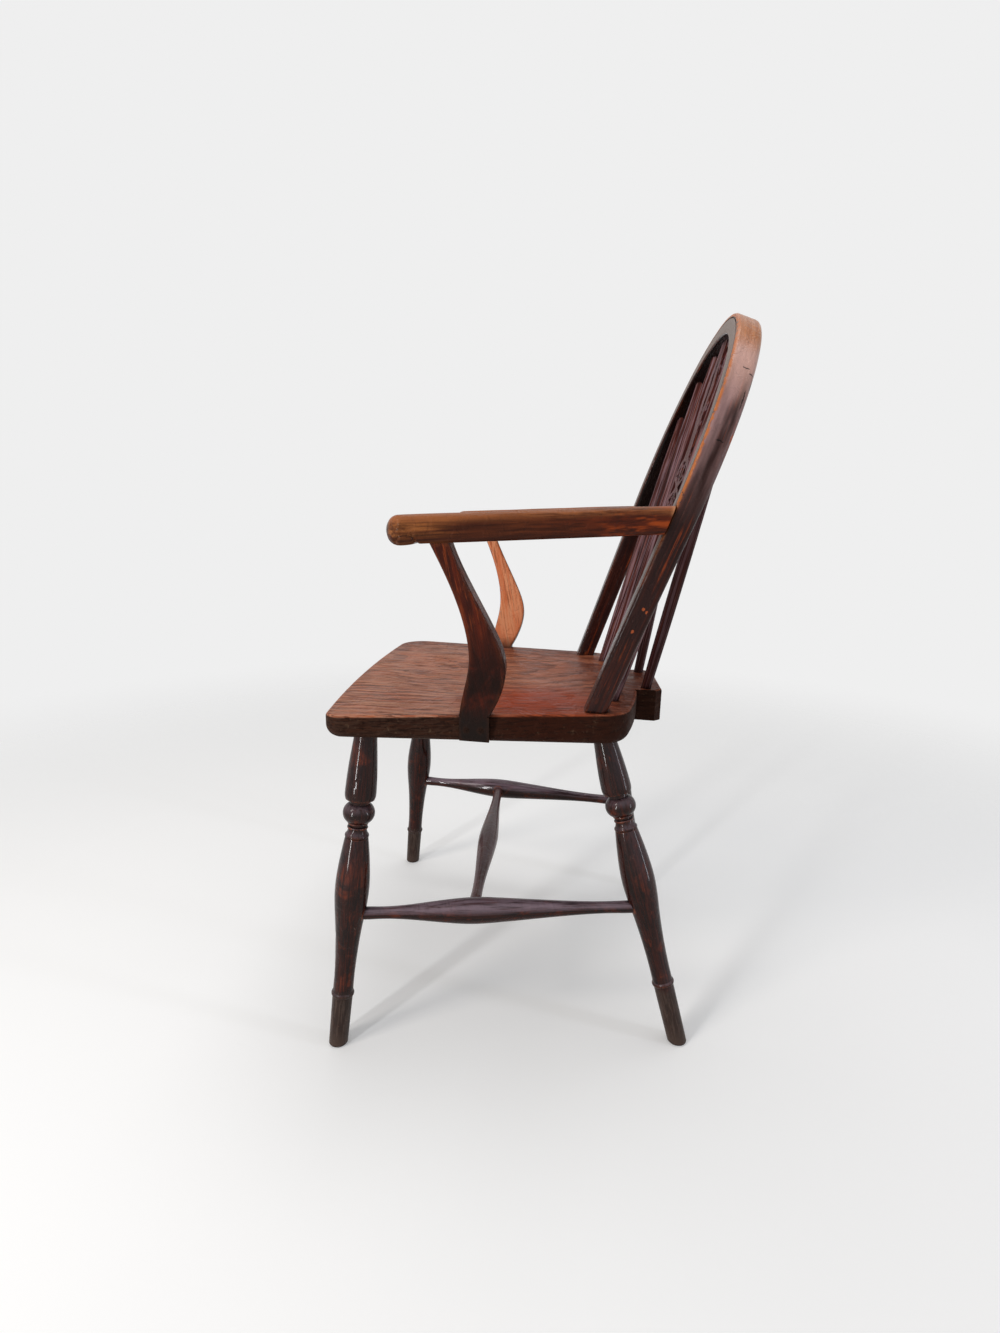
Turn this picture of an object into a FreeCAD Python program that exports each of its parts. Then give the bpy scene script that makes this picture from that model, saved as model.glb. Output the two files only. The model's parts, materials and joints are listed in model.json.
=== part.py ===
import FreeCAD, Part

import math
import os

# Wheelback armchair in turned and bent wood, in millimetres.
# +Z is up and the chair faces -Y, so the sitter's left is +X.
# Pieces are drawn about the middle of the four feet and moved to the row's origin at the end.

V = FreeCAD.Vector

# Fits
FIT = 0.15                  # radial room round a tenon in its socket
SLOT_FIT = 0.15             # room on each side of a flat tenon

# Seat
SEAT_TOP = 435.0
SEAT_FRONT_THICK = 28.5     # the board tapers under its flat top
SEAT_BACK_THICK = 41.0
SEAT_FRONT_HALF = 238.0
SEAT_FRONT_Y = -224.0       # at the front corners
SEAT_FRONT_BOW = 11.5       # how far the front edge bulges
SEAT_BACK_HALF = 181.0
SEAT_BACK_Y = 126.0         # at the back corners
SEAT_BACK_BOW = 29.0
SEAT_FRONT_LEFT_R = 20.0
SEAT_FRONT_RIGHT_R = 40.0
SEAT_BACK_R = 40.0
SEAT_TOP_ROUND = 4.5
SEAT_UNDER_ROUND = 15.0
SADDLE_R = 150.0            # rim of the hollow
SADDLE_DEPTH = 5.0
SADDLE_Y = -52.0
TAIL_HALF = 60.0            # the tongue that carries the two braces
TAIL_END_Y = 186.0
TAIL_CORNER = 9.0

# Legs
FRONT_TOP_IN, FRONT_TOP_Y = 34.5, 184.0     # in from the seat's side
FRONT_SPLAY, FRONT_FOOT_Y = 40.5, 218.5     # foot out from the leg's top
BACK_TOP_IN, BACK_TOP_Y = 50.1, 104.0
BACK_SPLAY, BACK_FOOT_Y = 55.5, 216.5
FRONT_ANKLE = 69.0          # from the floor to the ankle ring, along the leg
BACK_ANKLE = 81.5
ANKLE_RING = 6.0
VASE_LENGTH = 207.0         # from the ankle ring to the lip
LIP_LENGTH = 4.5
COVE_LENGTH = 7.0           # hollow over the lip
RING_LENGTH = 2.3           # one on each side of the groove
GROOVE_LENGTH = 3.0
BALL_LENGTH = 24.0
THROAT_LENGTH = 4.0         # between the ball and the shoulder
SHOULDER_STEP = 1.5         # length of the shoulder's sloping underside
SHOULDER_LENGTH = 10.0      # from its lower edge to its fullest
FOOT_R = 11.8
ANKLE_R = 12.7
VASE_R = 21.0
NECK_R = 14.2
LIP_R = 13.6
COVE_R = 11.4
RING_R = 12.0
GROOVE_R = 9.8
BALL_END_R = 12.6
BALL_R = 19.5
THROAT_R = 12.3
SHOULDER_EDGE_R = 17.8
SHOULDER_R = 19.0
LEG_TOP_R = 13.3
LEG_TENON_R = 11.0
LEG_TENON_LENGTH = 22.0
LEG_SPARE = 10.0            # turned past each end and trimmed off
FOOT_ROUND = 2.5

# Stretchers
FRONT_STRETCHER_AT = 175.0  # along the front leg
BACK_STRETCHER_AT = 184.0   # along the back leg
SWELL_SHARE = 0.41          # where the side stretcher is thickest, as a share from the front
SIDE_END_R, SIDE_MID_R = 7.8, 16.2
CROSS_END_R, CROSS_MID_R = 7.5, 14.5
STRETCHER_END = 24.0        # plain length at each end
STRETCHER_SOCKET = 45.0     # bored clear of the leg
SOCKET_SHORT_OF_AXIS = 3.0

# Bow
BOW_TILT = 19.0             # degrees back from upright
BOW_FRONT_Y = 77.0          # front face at the seat
BOW_FOOT_HALF = 167.0
BOW_CROWN_R = 204.0
BOW_CROWN_UP = 287.5        # crown's centre, up the bow from the seat
BOW_THICK = 25.0
BOW_FOOT_DEPTH = 25.0
BOW_CROWN_DEPTH = 31.0
BOW_FRONT_ROUND = 3.5
BOW_BACK_ROUND = 6.5
BOW_INNER_ROUND = 2.5
BEAD_IN, BEAD_WIDTH, BEAD_DEPTH = 5.2, 1.6, 1.1
BOW_TENON_R = 9.5
BOW_SPARE = 40.0            # drawn past each end and trimmed off
WEDGE_LENGTH, WEDGE_WIDTH, WEDGE_HEAD, WEDGE_TIP = 22.0, 14.0, 3.2, 1.0

# Back sticks, splat and braces
STICK_FOOT_X = (46.0, 82.0, 118.0)
STICK_TOP_X = (60.0, 113.0, 159.0)
STICK_FOOT_Y = 128.0        # on the centre line
STICK_FOOT_CURVE = 12.0     # how far forward the outermost foot stands
STICK_SEAT_DEPTH = 20.0
STICK_BOW_DEPTH = 12.0
STICK_INTO_FACE = 13.5      # socket centre behind the bow's front face
SOCKET_REACH = 12.0         # sockets are bored clear of the face by this
STICK_FOOT_R, STICK_SWELL_R, STICK_TOP_R = 5.8, 7.0, 4.8
SPLAT_THICK = 9.0
SPLAT_FOOT_HALF, SPLAT_TOP_HALF = 16.0, 14.0
SPLAT_BELLY_HALF, SPLAT_WAIST_HALF, SPLAT_CROWN_HALF = 27.0, 13.0, 23.0
SPLAT_SLOT_HALF = 8.0
WHEEL_UP, WHEEL_R, WHEEL_RIM, WHEEL_HUB_R, WHEEL_SPOKE = 275.0, 43.0, 8.5, 10.5, 5.5
WHEEL_SPOKES = 8
BRACE_FOOT_X, BRACE_FOOT_Y = 47.0, 165.0
BRACE_SEAT_DEPTH = 18.0
BRACE_TOP_ANGLE = 45.0      # round the crown from level
BRACE_INTO_FACE = 21.0
BRACE_FOOT_R, BRACE_SWELL_R, BRACE_TOP_R = 6.6, 7.6, 4.8

# Arms and their supports
ARM_UP = 234.0              # top over the seat's, above the middle of the feet
ARM_RISE = 0.052            # per millimetre towards the back
ARM_THICK = 30.0
ARM_CORNER_R = 7.5
ARM_TIP_Y = -140.5
ARM_NOSE_R = 15.5
ARM_NOSE_FLARE = 0.089      # per millimetre behind the nose
HAND_OUT, HAND_HALF = 1.7, 26.5     # the hand's middle, out from the support's
# towards the front: (y, share of the way across from the bow to the hand, width)
ARM_PLAN = ((185.0, 0.045, 24.0), (150.0, 0.134, 26.0), (80.0, 0.434, 31.0), (0.0, 0.70, 38.0),
            (-85.0, 0.894, 45.0), (-165.0, 1.035, 56.0))
ARM_TENON_R, ARM_TENON_LENGTH = 6.0, 16.0
SUPPORT_LEAN = 12.0         # degrees outwards from upright
SUPPORT_THICK = 24.5
SUPPORT_PROUD = 8.1         # outer face beyond the line of the seat's side, at the seat's top
# up the board from the seat's top: (y, height)
SUPPORT_FRONT = ((-69.0, 0.0), (-64.5, 26.0), (-57.0, 66.0), (-61.5, 112.0), (-83.5, 176.0), (-109.5, 232.0))
SUPPORT_BACK = ((-34.0, 0.0), (-22.0, 25.0), (-15.5, 60.0), (-28.5, 102.0), (-57.5, 161.0), (-80.0, 232.0))
SUPPORT_ROUND = 3.5
SUPPORT_TENON_R, SUPPORT_TENON_LENGTH = 7.0, 16.0
SUPPORT_TENON_ROOT = 10.0   # carried down inside the board, under the arm
SUPPORT_SHORT = 3.0         # foot's end, up from the seat's underside
SUPPORT_PEG_R, SUPPORT_PEG_LENGTH, SUPPORT_PEG_GAP = 3.5, 46.0, 17.0

FAR = 1000.0


def unit(v):
    return v * (1.0 / v.Length)


def mirrored(shape):
    return shape.mirror(V(0, 0, 0), V(1, 0, 0))


def aligned(shape, start, end):
    """Stand a shape drawn up Z on the line from start to end."""
    shape = shape.copy()
    shape.Placement = FreeCAD.Placement(start, FreeCAD.Rotation(V(0, 0, 1), end - start))
    return shape


def rod(start, end, radius):
    return Part.makeCylinder(radius, (end - start).Length, start, end - start)


def slab(low, high):
    """Everything between two heights."""
    return Part.makeBox(2 * FAR, 2 * FAR, high - low, V(-FAR, -FAR, low))


def seat_thick(y):
    share = (y - SEAT_FRONT_Y) / (SEAT_BACK_Y - SEAT_FRONT_Y)
    return SEAT_FRONT_THICK + (SEAT_BACK_THICK - SEAT_FRONT_THICK) * share


def seat_side(y):
    """Half width of the seat, without its corners."""
    share = (y - SEAT_FRONT_Y) / (SEAT_BACK_Y - SEAT_FRONT_Y)
    return SEAT_FRONT_HALF + (SEAT_BACK_HALF - SEAT_FRONT_HALF) * share


def under_seat(y, drop=0.0):
    return SEAT_TOP - seat_thick(y) - drop


def half_space(above, drop=0.0):
    """Everything above or below the seat's sloping underside."""
    end = FAR if above else -FAR
    corners = [(-FAR, -FAR, under_seat(-FAR, drop)), (-FAR, FAR, under_seat(FAR, drop)), (-FAR, FAR, end),
               (-FAR, -FAR, end)]
    return plate([line(a, b) for a, b in zip(corners, corners[1:] + corners[:1])], V(2 * FAR, 0, 0))


def curve(points):
    spline = Part.BSplineCurve()
    spline.interpolate([V(*p) for p in points])
    return spline.toShape()


def line(a, b):
    return Part.makeLine(V(*a), V(*b))


def plate(edges, direction):
    face = Part.Face(Part.Wire(Part.__sortEdges__(edges)))
    return face.extrude(direction)


def edges_where(shape, test):
    return [e for e in shape.Edges if all(test(v.Point) for v in e.Vertexes)]


class Turning:
    """A lathe profile drawn up the axis as (distance, radius)."""

    def __init__(self, distance, radius):
        self.start = self.last = (radius, 0, distance)
        self.edges = []

    def straight(self, distance, radius):
        end = (radius, 0, distance)
        self.edges.append(line(self.last, end))
        self.last = end
        return self

    def bead(self, distance, radius, rise):
        end = (radius, 0, distance)
        middle = ((self.last[0] + radius) / 2 + rise, 0, (self.last[2] + distance) / 2)
        self.edges.append(Part.Arc(V(*self.last), V(*middle), V(*end)).toShape())
        self.last = end
        return self

    def flow(self, *stations):
        points = [self.last] + [(r, 0, d) for d, r in stations]
        self.edges.append(curve(points))
        self.last = points[-1]
        return self

    def solid(self):
        foot, head = (0, 0, self.start[2]), (0, 0, self.last[2])
        outline = [line(foot, self.start)] + self.edges + [line(self.last, head), line(head, foot)]
        return Part.Face(Part.Wire(outline)).revolve(V(0, 0, 0), V(0, 0, 1), 360)


# Seat

def seat_plank():
    left, right = SEAT_FRONT_HALF, -SEAT_FRONT_HALF
    z = SEAT_TOP
    front = Part.Arc(V(right, SEAT_FRONT_Y, z), V(0, SEAT_FRONT_Y - SEAT_FRONT_BOW, z),
                     V(left, SEAT_FRONT_Y, z)).toShape()
    back = Part.Arc(V(SEAT_BACK_HALF, SEAT_BACK_Y, z), V(0, SEAT_BACK_Y + SEAT_BACK_BOW, z),
                    V(-SEAT_BACK_HALF, SEAT_BACK_Y, z)).toShape()
    sides = [line((s * SEAT_FRONT_HALF, SEAT_FRONT_Y, z), (s * SEAT_BACK_HALF, SEAT_BACK_Y, z))
             for s in (1, -1)]
    plank = plate([front, sides[0], back, sides[1]], V(0, 0, -2 * SEAT_BACK_THICK))
    corners = ((1, SEAT_FRONT_Y, SEAT_FRONT_LEFT_R), (-1, SEAT_FRONT_Y, SEAT_FRONT_RIGHT_R),
               (1, SEAT_BACK_Y, SEAT_BACK_R), (-1, SEAT_BACK_Y, SEAT_BACK_R))
    for side, y, radius in corners:
        upright = edges_where(plank, lambda p: p.x * side > 0 and abs(p.y - y) < 0.01)
        plank = plank.makeFillet(radius, upright)
    plank = plank.common(half_space(True))
    plank = plank.makeFillet(SEAT_TOP_ROUND, edges_where(plank, lambda p: p.z > SEAT_TOP - 0.01))
    return plank.makeFillet(SEAT_UNDER_ROUND, edges_where(plank, lambda p: p.z < under_seat(p.y) + 0.01))


def seat_tail():
    start = SEAT_BACK_Y - SEAT_TOP_ROUND
    z = SEAT_TOP
    corners = [(TAIL_HALF, start, z), (TAIL_HALF, TAIL_END_Y - TAIL_CORNER, z),
               (TAIL_HALF - TAIL_CORNER, TAIL_END_Y, z)]
    corners += [(-x, y, h) for x, y, h in reversed(corners)]
    edges = [line(a, b) for a, b in zip(corners, corners[1:] + corners[:1])]
    tail = plate(edges, V(0, 0, -2 * SEAT_BACK_THICK)).common(half_space(True))
    around = edges_where(tail, lambda p: p.z > SEAT_TOP - 0.01 and p.y > start + 0.01)
    return tail.makeFillet(SEAT_TOP_ROUND / 2, around)


def saddle():
    radius = (SADDLE_R ** 2 + SADDLE_DEPTH ** 2) / (2 * SADDLE_DEPTH)
    return Part.makeSphere(radius, V(0, SADDLE_Y, SEAT_TOP - SADDLE_DEPTH + radius))


# Legs and stretchers

class Leg:
    def __init__(self, foot, top, ankle):
        self.foot, self.top, self.ankle = foot, top, ankle
        self.way = unit(top - foot)
        self.length = (top - foot).Length

    def at(self, distance):
        return self.foot + self.way * distance

    def socket(self):
        return rod(self.at(self.length - 20), self.at(self.length + LEG_TENON_LENGTH), LEG_TENON_R + FIT)

    def solid(self):
        ankle, collar, top = self.ankle, self.ankle + VASE_LENGTH, self.length + LEG_SPARE
        profile = Turning(-LEG_SPARE, FOOT_R).straight(ankle - ANKLE_RING / 2, ANKLE_R)
        profile.bead(ankle + ANKLE_RING / 2, ANKLE_R, 1.6)
        vase = [(0.217, ANKLE_R + 0.6), (0.444, VASE_R - 4.1), (0.657, VASE_R), (0.85, VASE_R - 2.4), (1, NECK_R)]
        profile.flow(*[(ankle + VASE_LENGTH * share, radius) for share, radius in vase])
        lip = collar + LIP_LENGTH
        profile.straight(collar, LIP_R).bead(lip, LIP_R, 1.2)
        cove = lip + COVE_LENGTH
        profile.flow((lip + COVE_LENGTH * 0.4, COVE_R + 0.7), (cove, COVE_R))
        groove = cove + RING_LENGTH
        profile.straight(cove, RING_R).bead(groove, RING_R, 0.7)
        ring = groove + GROOVE_LENGTH
        profile.straight(groove, GROOVE_R).straight(ring, GROOVE_R)
        ball = ring + RING_LENGTH
        profile.straight(ring, RING_R).bead(ball, RING_R, 0.6)
        throat = ball + BALL_LENGTH
        profile.straight(ball, BALL_END_R).bead(throat, BALL_END_R, BALL_R - BALL_END_R)
        shoulder = throat + THROAT_LENGTH + SHOULDER_STEP
        profile.straight(throat, THROAT_R).straight(shoulder - SHOULDER_STEP, THROAT_R)
        profile.straight(shoulder, SHOULDER_EDGE_R)
        fullest = shoulder + SHOULDER_LENGTH
        profile.flow((shoulder + SHOULDER_LENGTH * 0.35, SHOULDER_R - 0.25), (fullest, SHOULDER_R),
                     ((fullest + top) / 2, (SHOULDER_R + LEG_TOP_R) / 2 + 0.3), (top, LEG_TOP_R))
        body = aligned(profile.solid(), self.foot, self.top).common(slab(0, SEAT_TOP)).cut(half_space(True))
        body = body.makeFillet(FOOT_ROUND, edges_where(body, lambda p: p.z < 0.01))
        tenon = rod(self.at(self.length - 20), self.at(self.length + LEG_TENON_LENGTH), LEG_TENON_R)
        return body.fuse(tenon).removeSplitter()


class Stretcher:
    def __init__(self, start, end, end_r, mid_r, swell):
        way = unit(end - start)
        self.start, self.end = start + way * SOCKET_SHORT_OF_AXIS, end - way * SOCKET_SHORT_OF_AXIS
        self.end_r, self.mid_r, self.swell = end_r, mid_r, swell
        self.way, self.length = way, (self.end - self.start).Length

    def at_share(self, share):
        return self.start + self.way * (self.length * share)

    def sockets(self):
        reach = self.way * STRETCHER_SOCKET
        r = self.end_r + FIT
        return rod(self.start, self.start + reach, r), rod(self.end, self.end - reach, r)

    def solid(self):
        length, peak = self.length, self.length * self.swell
        rise = self.mid_r - self.end_r
        profile = Turning(0, self.end_r).straight(STRETCHER_END, self.end_r)
        profile.flow((peak * 0.55, self.end_r + rise * 0.30), (peak * 0.85, self.end_r + rise * 0.86),
                     (peak, self.mid_r),
                     (peak + (length - peak) * 0.15, self.end_r + rise * 0.86),
                     (peak + (length - peak) * 0.48, self.end_r + rise * 0.28),
                     (length - STRETCHER_END, self.end_r))
        profile.straight(length, self.end_r)
        return aligned(profile.solid(), self.start, self.end)


# Bow, drawn flat: x across the chair, y up the bow from the seat, -z back from the front face

BOW_PLANE = FreeCAD.Placement(V(0, BOW_FRONT_Y, SEAT_TOP), FreeCAD.Rotation(V(1, 0, 0), 90 - BOW_TILT))


def on_bow(across, up, into=0.0):
    return BOW_PLANE.multVec(V(across, up, -into))


def bow_tangent():
    """Angle round the crown, from level, at which the straight leg leaves it."""
    away = math.hypot(BOW_FOOT_HALF, BOW_CROWN_UP)
    return math.acos(BOW_CROWN_R / away) - math.atan2(BOW_CROWN_UP, BOW_FOOT_HALF)


def bow_outline(offset):
    """Leg, crown and leg of a line that far outside the bow's middle, from left to right."""
    angle = bow_tangent()
    out, down = V(math.cos(angle), math.sin(angle), 0), V(math.sin(angle), -math.cos(angle), 0)
    touch = V(0, BOW_CROWN_UP, 0) + out * (BOW_CROWN_R + offset)
    foot = touch + down * (BOW_CROWN_UP + BOW_SPARE)
    top = V(0, BOW_CROWN_UP + BOW_CROWN_R + offset, 0)
    across = [V(-p.x, p.y, 0) for p in (touch, foot)]
    return [Part.makeLine(foot, touch), Part.Arc(touch, top, across[0]).toShape(),
            Part.makeLine(across[0], across[1])]


def bow_band(outer, inner, depth, start=0.0):
    """The strip between two outlines, from the front face back."""
    a, b = bow_outline(outer), bow_outline(inner)
    ends = [Part.makeLine(p.Vertexes[i].Point, q.Vertexes[i].Point)
            for p, q, i in ((a[0], b[0], 0), (a[2], b[2], -1))]
    band = plate(a + b + ends, V(0, 0, -depth))
    band.translate(V(0, 0, -start))
    return band


def bow_depth(up):
    share = up / (BOW_CROWN_UP + BOW_CROWN_R)
    return BOW_FOOT_DEPTH + (BOW_CROWN_DEPTH - BOW_FOOT_DEPTH) * share


def bow_foot_axis():
    """Start and direction of a bow foot's tenon, down through the seat."""
    angle = bow_tangent()
    down = BOW_PLANE.Rotation.multVec(V(math.sin(angle), -math.cos(angle), 0))
    middle = on_bow(BOW_FOOT_HALF, 0, BOW_FOOT_DEPTH / 2)
    return middle + down * ((middle.z - SEAT_TOP) / -down.z), down


def bow_solid():
    half, low, high = BOW_THICK / 2, -60.0, BOW_CROWN_UP + BOW_CROWN_R + BOW_SPARE
    band = bow_band(half, -half, BOW_CROWN_DEPTH + 10)
    side = [(-FAR, low, 1), (-FAR, high, 1), (-FAR, high, -bow_depth(high)), (-FAR, low, -bow_depth(low))]
    band = band.common(plate([line(a, b) for a, b in zip(side, side[1:] + side[:1])], V(2 * FAR, 0, 0)))

    def outside(p):
        crown = V(p.x, p.y - BOW_CROWN_UP, 0)
        angle = bow_tangent()
        over = crown.x if p.x > 0 else -crown.x
        if crown.y > over * math.tan(angle):
            return crown.Length > BOW_CROWN_R
        return over * math.cos(angle) + crown.y * math.sin(angle) > BOW_CROWN_R

    def run(test):
        return [e for e in band.Edges if test(e.Vertexes[0].Point) and test(e.Vertexes[-1].Point)
                and min(v.Point.y for v in e.Vertexes) > low and e.Length > BOW_CROWN_DEPTH + 10]

    band = band.makeFillet(BOW_FRONT_ROUND, run(lambda p: outside(p) and p.z > -0.01))
    band = band.makeFillet(BOW_BACK_ROUND, run(lambda p: outside(p) and p.z < -BOW_FOOT_DEPTH / 2))
    band = band.makeFillet(BOW_INNER_ROUND, run(lambda p: not outside(p)))
    bead = bow_band(half - BEAD_IN, half - BEAD_IN - BEAD_WIDTH, BEAD_DEPTH + 5, -5)
    band = band.cut(bead)
    band.Placement = BOW_PLANE
    return band.common(slab(SEAT_TOP, 2 * FAR))


def bow_tenon(radius, extra=0.0):
    start, down = bow_foot_axis()
    body = rod(start - down * 15, start + down * 2 * SEAT_BACK_THICK, radius)
    return body.common(slab(0, SEAT_TOP + 8)).common(half_space(True, extra))


def bow_wedge():
    """Driven up into the tenon's end from under the seat."""
    start, down = bow_foot_axis()
    head = start + down * (seat_thick(start.y) / -down.z)
    half_head, half_tip = WEDGE_HEAD / 2, WEDGE_TIP / 2
    low = -15.0
    half_low = half_head + (half_head - half_tip) * (-low / WEDGE_LENGTH)
    w = WEDGE_WIDTH / 2
    face = [(-w, -half_low, low), (-w, half_low, low), (-w, half_tip, WEDGE_LENGTH),
            (-w, -half_tip, WEDGE_LENGTH)]
    wedge = plate([line(a, b) for a, b in zip(face, face[1:] + face[:1])], V(WEDGE_WIDTH, 0, 0))
    return aligned(wedge, head, head - down).common(slab(0, SEAT_TOP)).common(half_space(True))


# Sticks, splat and braces

def crown_under(across):
    """How far up the bow its inner face lies over a point that far from the middle."""
    inner = BOW_CROWN_R - BOW_THICK / 2
    return BOW_CROWN_UP + math.sqrt(inner ** 2 - across ** 2)


def stick_foot(across):
    return V(across, STICK_FOOT_Y - STICK_FOOT_CURVE * (across / STICK_FOOT_X[-1]) ** 2, SEAT_TOP)


class Spindle:
    """A slim turned stick between the seat and the bow."""

    def __init__(self, foot, top, radii, into_seat, into_bow):
        self.foot, self.top, self.radii = foot, top, radii
        self.way = unit(top - foot)
        self.start, self.end = foot - self.way * into_seat, top + self.way * into_bow
        self.length = (self.end - self.start).Length

    def sockets(self):
        foot_r, top_r = self.radii[0] + FIT, self.radii[2] + FIT
        return (rod(self.start, self.foot + self.way * SOCKET_REACH, foot_r),
                rod(self.end, self.top - self.way * SOCKET_REACH, top_r))

    def solid(self):
        foot_r, swell_r, top_r = self.radii
        seat_end = (self.foot - self.start).Length + 4
        bow_end = self.length - (self.end - self.top).Length - 14
        profile = Turning(0, foot_r).straight(seat_end, foot_r)
        span = bow_end - seat_end
        profile.flow((seat_end + span * 0.38, swell_r), (bow_end, top_r))
        profile.straight(self.length, top_r)
        return aligned(profile.solid(), self.start, self.end)


def back_stick(foot_x, top_x):
    top = on_bow(top_x, crown_under(top_x), STICK_INTO_FACE)
    return Spindle(stick_foot(foot_x), top, (STICK_FOOT_R, STICK_SWELL_R, STICK_TOP_R),
                   STICK_SEAT_DEPTH, STICK_BOW_DEPTH)


def brace():
    angle = math.radians(BRACE_TOP_ANGLE)
    inner = BOW_CROWN_R - BOW_THICK / 2
    top = on_bow(inner * math.cos(angle), BOW_CROWN_UP + inner * math.sin(angle), BRACE_INTO_FACE)
    return Spindle(V(BRACE_FOOT_X, BRACE_FOOT_Y, SEAT_TOP), top, (BRACE_FOOT_R, BRACE_SWELL_R, BRACE_TOP_R),
                   BRACE_SEAT_DEPTH, STICK_BOW_DEPTH)


class Splat:
    """The pierced centre board, drawn flat: x across, y up from its foot, z through it."""

    def __init__(self):
        self.foot = stick_foot(0)
        self.head = on_bow(0, crown_under(0), STICK_INTO_FACE)
        self.length = (self.head - self.foot).Length
        lean = math.degrees(math.atan2(self.head.y - self.foot.y, self.head.z - self.foot.z))
        self.place = FreeCAD.Placement(self.foot, FreeCAD.Rotation(V(1, 0, 0), 90 - lean))

    def blade(self, stations, thick):
        right = [(half, up, -thick / 2) for up, half in stations]
        left = [(-x, y, z) for x, y, z in reversed(right)]
        ends = [line(right[-1], left[0]), line(left[-1], right[0])]
        return plate([curve(right), ends[0], curve(left), ends[1]], V(0, 0, thick))

    def leaf(self, low, high, half):
        """A pointed oval piercing."""
        thick = SPLAT_THICK + 2
        tips, middle = ((0, low, -thick / 2), (0, high, -thick / 2)), (low + high) / 2
        sides = [Part.Arc(V(*tips[0]), V(s * half, middle, -thick / 2), V(*tips[1])).toShape()
                 for s in (1, -1)]
        return plate(sides, V(0, 0, thick))

    def disc(self, radius, thick=SPLAT_THICK):
        return Part.makeCylinder(radius, thick, V(0, WHEEL_UP, -thick / 2))

    def solid(self):
        low, high = WHEEL_UP - WHEEL_R, WHEEL_UP + WHEEL_R
        bottom = self.blade(((-STICK_SEAT_DEPTH, SPLAT_FOOT_HALF), (0, SPLAT_FOOT_HALF),
                             (low * 0.42, SPLAT_BELLY_HALF), (low - 18, SPLAT_WAIST_HALF),
                             (low + 12, SPLAT_WAIST_HALF + 9)), SPLAT_THICK)
        rest = self.length - high
        top = self.blade(((high - 12, SPLAT_WAIST_HALF + 8), (high + 14, SPLAT_WAIST_HALF),
                          (high + rest * 0.55, SPLAT_CROWN_HALF), (self.length, SPLAT_TOP_HALF),
                          (self.length + STICK_BOW_DEPTH, SPLAT_TOP_HALF)), SPLAT_THICK)
        board = bottom.fuse([top, self.disc(WHEEL_R)]).removeSplitter()
        open_wheel = self.disc(WHEEL_R - WHEEL_RIM, SPLAT_THICK + 2)
        open_wheel = open_wheel.cut(self.disc(WHEEL_HUB_R, SPLAT_THICK + 4))
        for i in range(WHEEL_SPOKES // 2):
            spoke = Part.makeBox(2 * WHEEL_R, WHEEL_SPOKE, SPLAT_THICK + 4,
                                 V(-WHEEL_R, WHEEL_UP - WHEEL_SPOKE / 2, -SPLAT_THICK / 2 - 2))
            spoke.rotate(V(0, WHEEL_UP, 0), V(0, 0, 1), 360.0 / WHEEL_SPOKES * (i + 0.5))
            open_wheel = open_wheel.cut(spoke)
        slots = [self.leaf(low * 0.16, low * 0.78, SPLAT_SLOT_HALF),
                 self.leaf(high + rest * 0.32, self.length - 22, SPLAT_SLOT_HALF * 0.8)]
        board = board.cut([open_wheel] + slots)
        board.Placement = self.place
        return board

    def mortise(self, up, down, half):
        box = Part.makeBox(2 * (half + SLOT_FIT), up - down, SPLAT_THICK + 2 * SLOT_FIT,
                           V(-half - SLOT_FIT, down, -SPLAT_THICK / 2 - SLOT_FIT))
        box.Placement = self.place
        return box

    def seat_mortise(self):
        return self.mortise(SOCKET_REACH, -STICK_SEAT_DEPTH, SPLAT_FOOT_HALF)

    def bow_mortise(self):
        return self.mortise(self.length + STICK_BOW_DEPTH, self.length - SOCKET_REACH, SPLAT_TOP_HALF)


# Arms and supports, drawn for the sitter's left

def arm_top(y):
    return SEAT_TOP + ARM_UP + ARM_RISE * y


def rounded_section(y, middle, width, height, corner, z):
    """Upright rounded rectangle across the arm."""
    w, h = width / 2, height / 2
    c = min(corner, w - 0.5, h - 0.5)
    k = c * (1 - math.sqrt(0.5))
    edges = []
    stops = [((w - c, h), (w - k, h - k), (w, h - c)), ((w, -h + c), (w - k, -h + k), (w - c, -h)),
             ((-w + c, -h), (-w + k, -h + k), (-w, -h + c)), ((-w, h - c), (-w + k, h - k), (-w + c, h))]
    place = [[V(middle + a, y, z + b) for a, b in stop] for stop in stops]
    for i, stop in enumerate(place):
        edges.append(Part.Arc(*stop).toShape())
        edges.append(Part.makeLine(stop[2], place[(i + 1) % 4][0]))
    return Part.Wire(edges)


def arm_nose():
    """The space inside the rounded hand end, seen from the side and from above."""
    middle = arm_top(ARM_TIP_Y) - ARM_THICK / 2
    y = ARM_TIP_Y + ARM_NOSE_R
    open_half = ARM_NOSE_R + ARM_NOSE_FLARE * (FAR - y)
    points = [(0, y, middle + ARM_NOSE_R), (0, FAR, middle + open_half), (0, FAR, middle - open_half),
              (0, y, middle - ARM_NOSE_R)]
    side = [line(a, b) for a, b in zip(points, points[1:])]
    side.append(Part.Arc(V(*points[-1]), V(0, ARM_TIP_Y, middle), V(*points[0])).toShape())
    x, half = hand_x(), HAND_HALF
    y = ARM_TIP_Y + half
    points = [(x - half, y, 0), (x - FAR, y, 0), (x - FAR, FAR, 0), (x + FAR, FAR, 0), (x + FAR, y, 0),
              (x + half, y, 0)]
    plan = [line(a, b) for a, b in zip(points, points[1:])]
    plan.append(Part.Arc(V(*points[-1]), V(x, ARM_TIP_Y, 0), V(*points[0])).toShape())
    return plate(side, V(FAR, 0, 0)).common(plate(plan, V(0, 0, FAR)))


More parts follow.
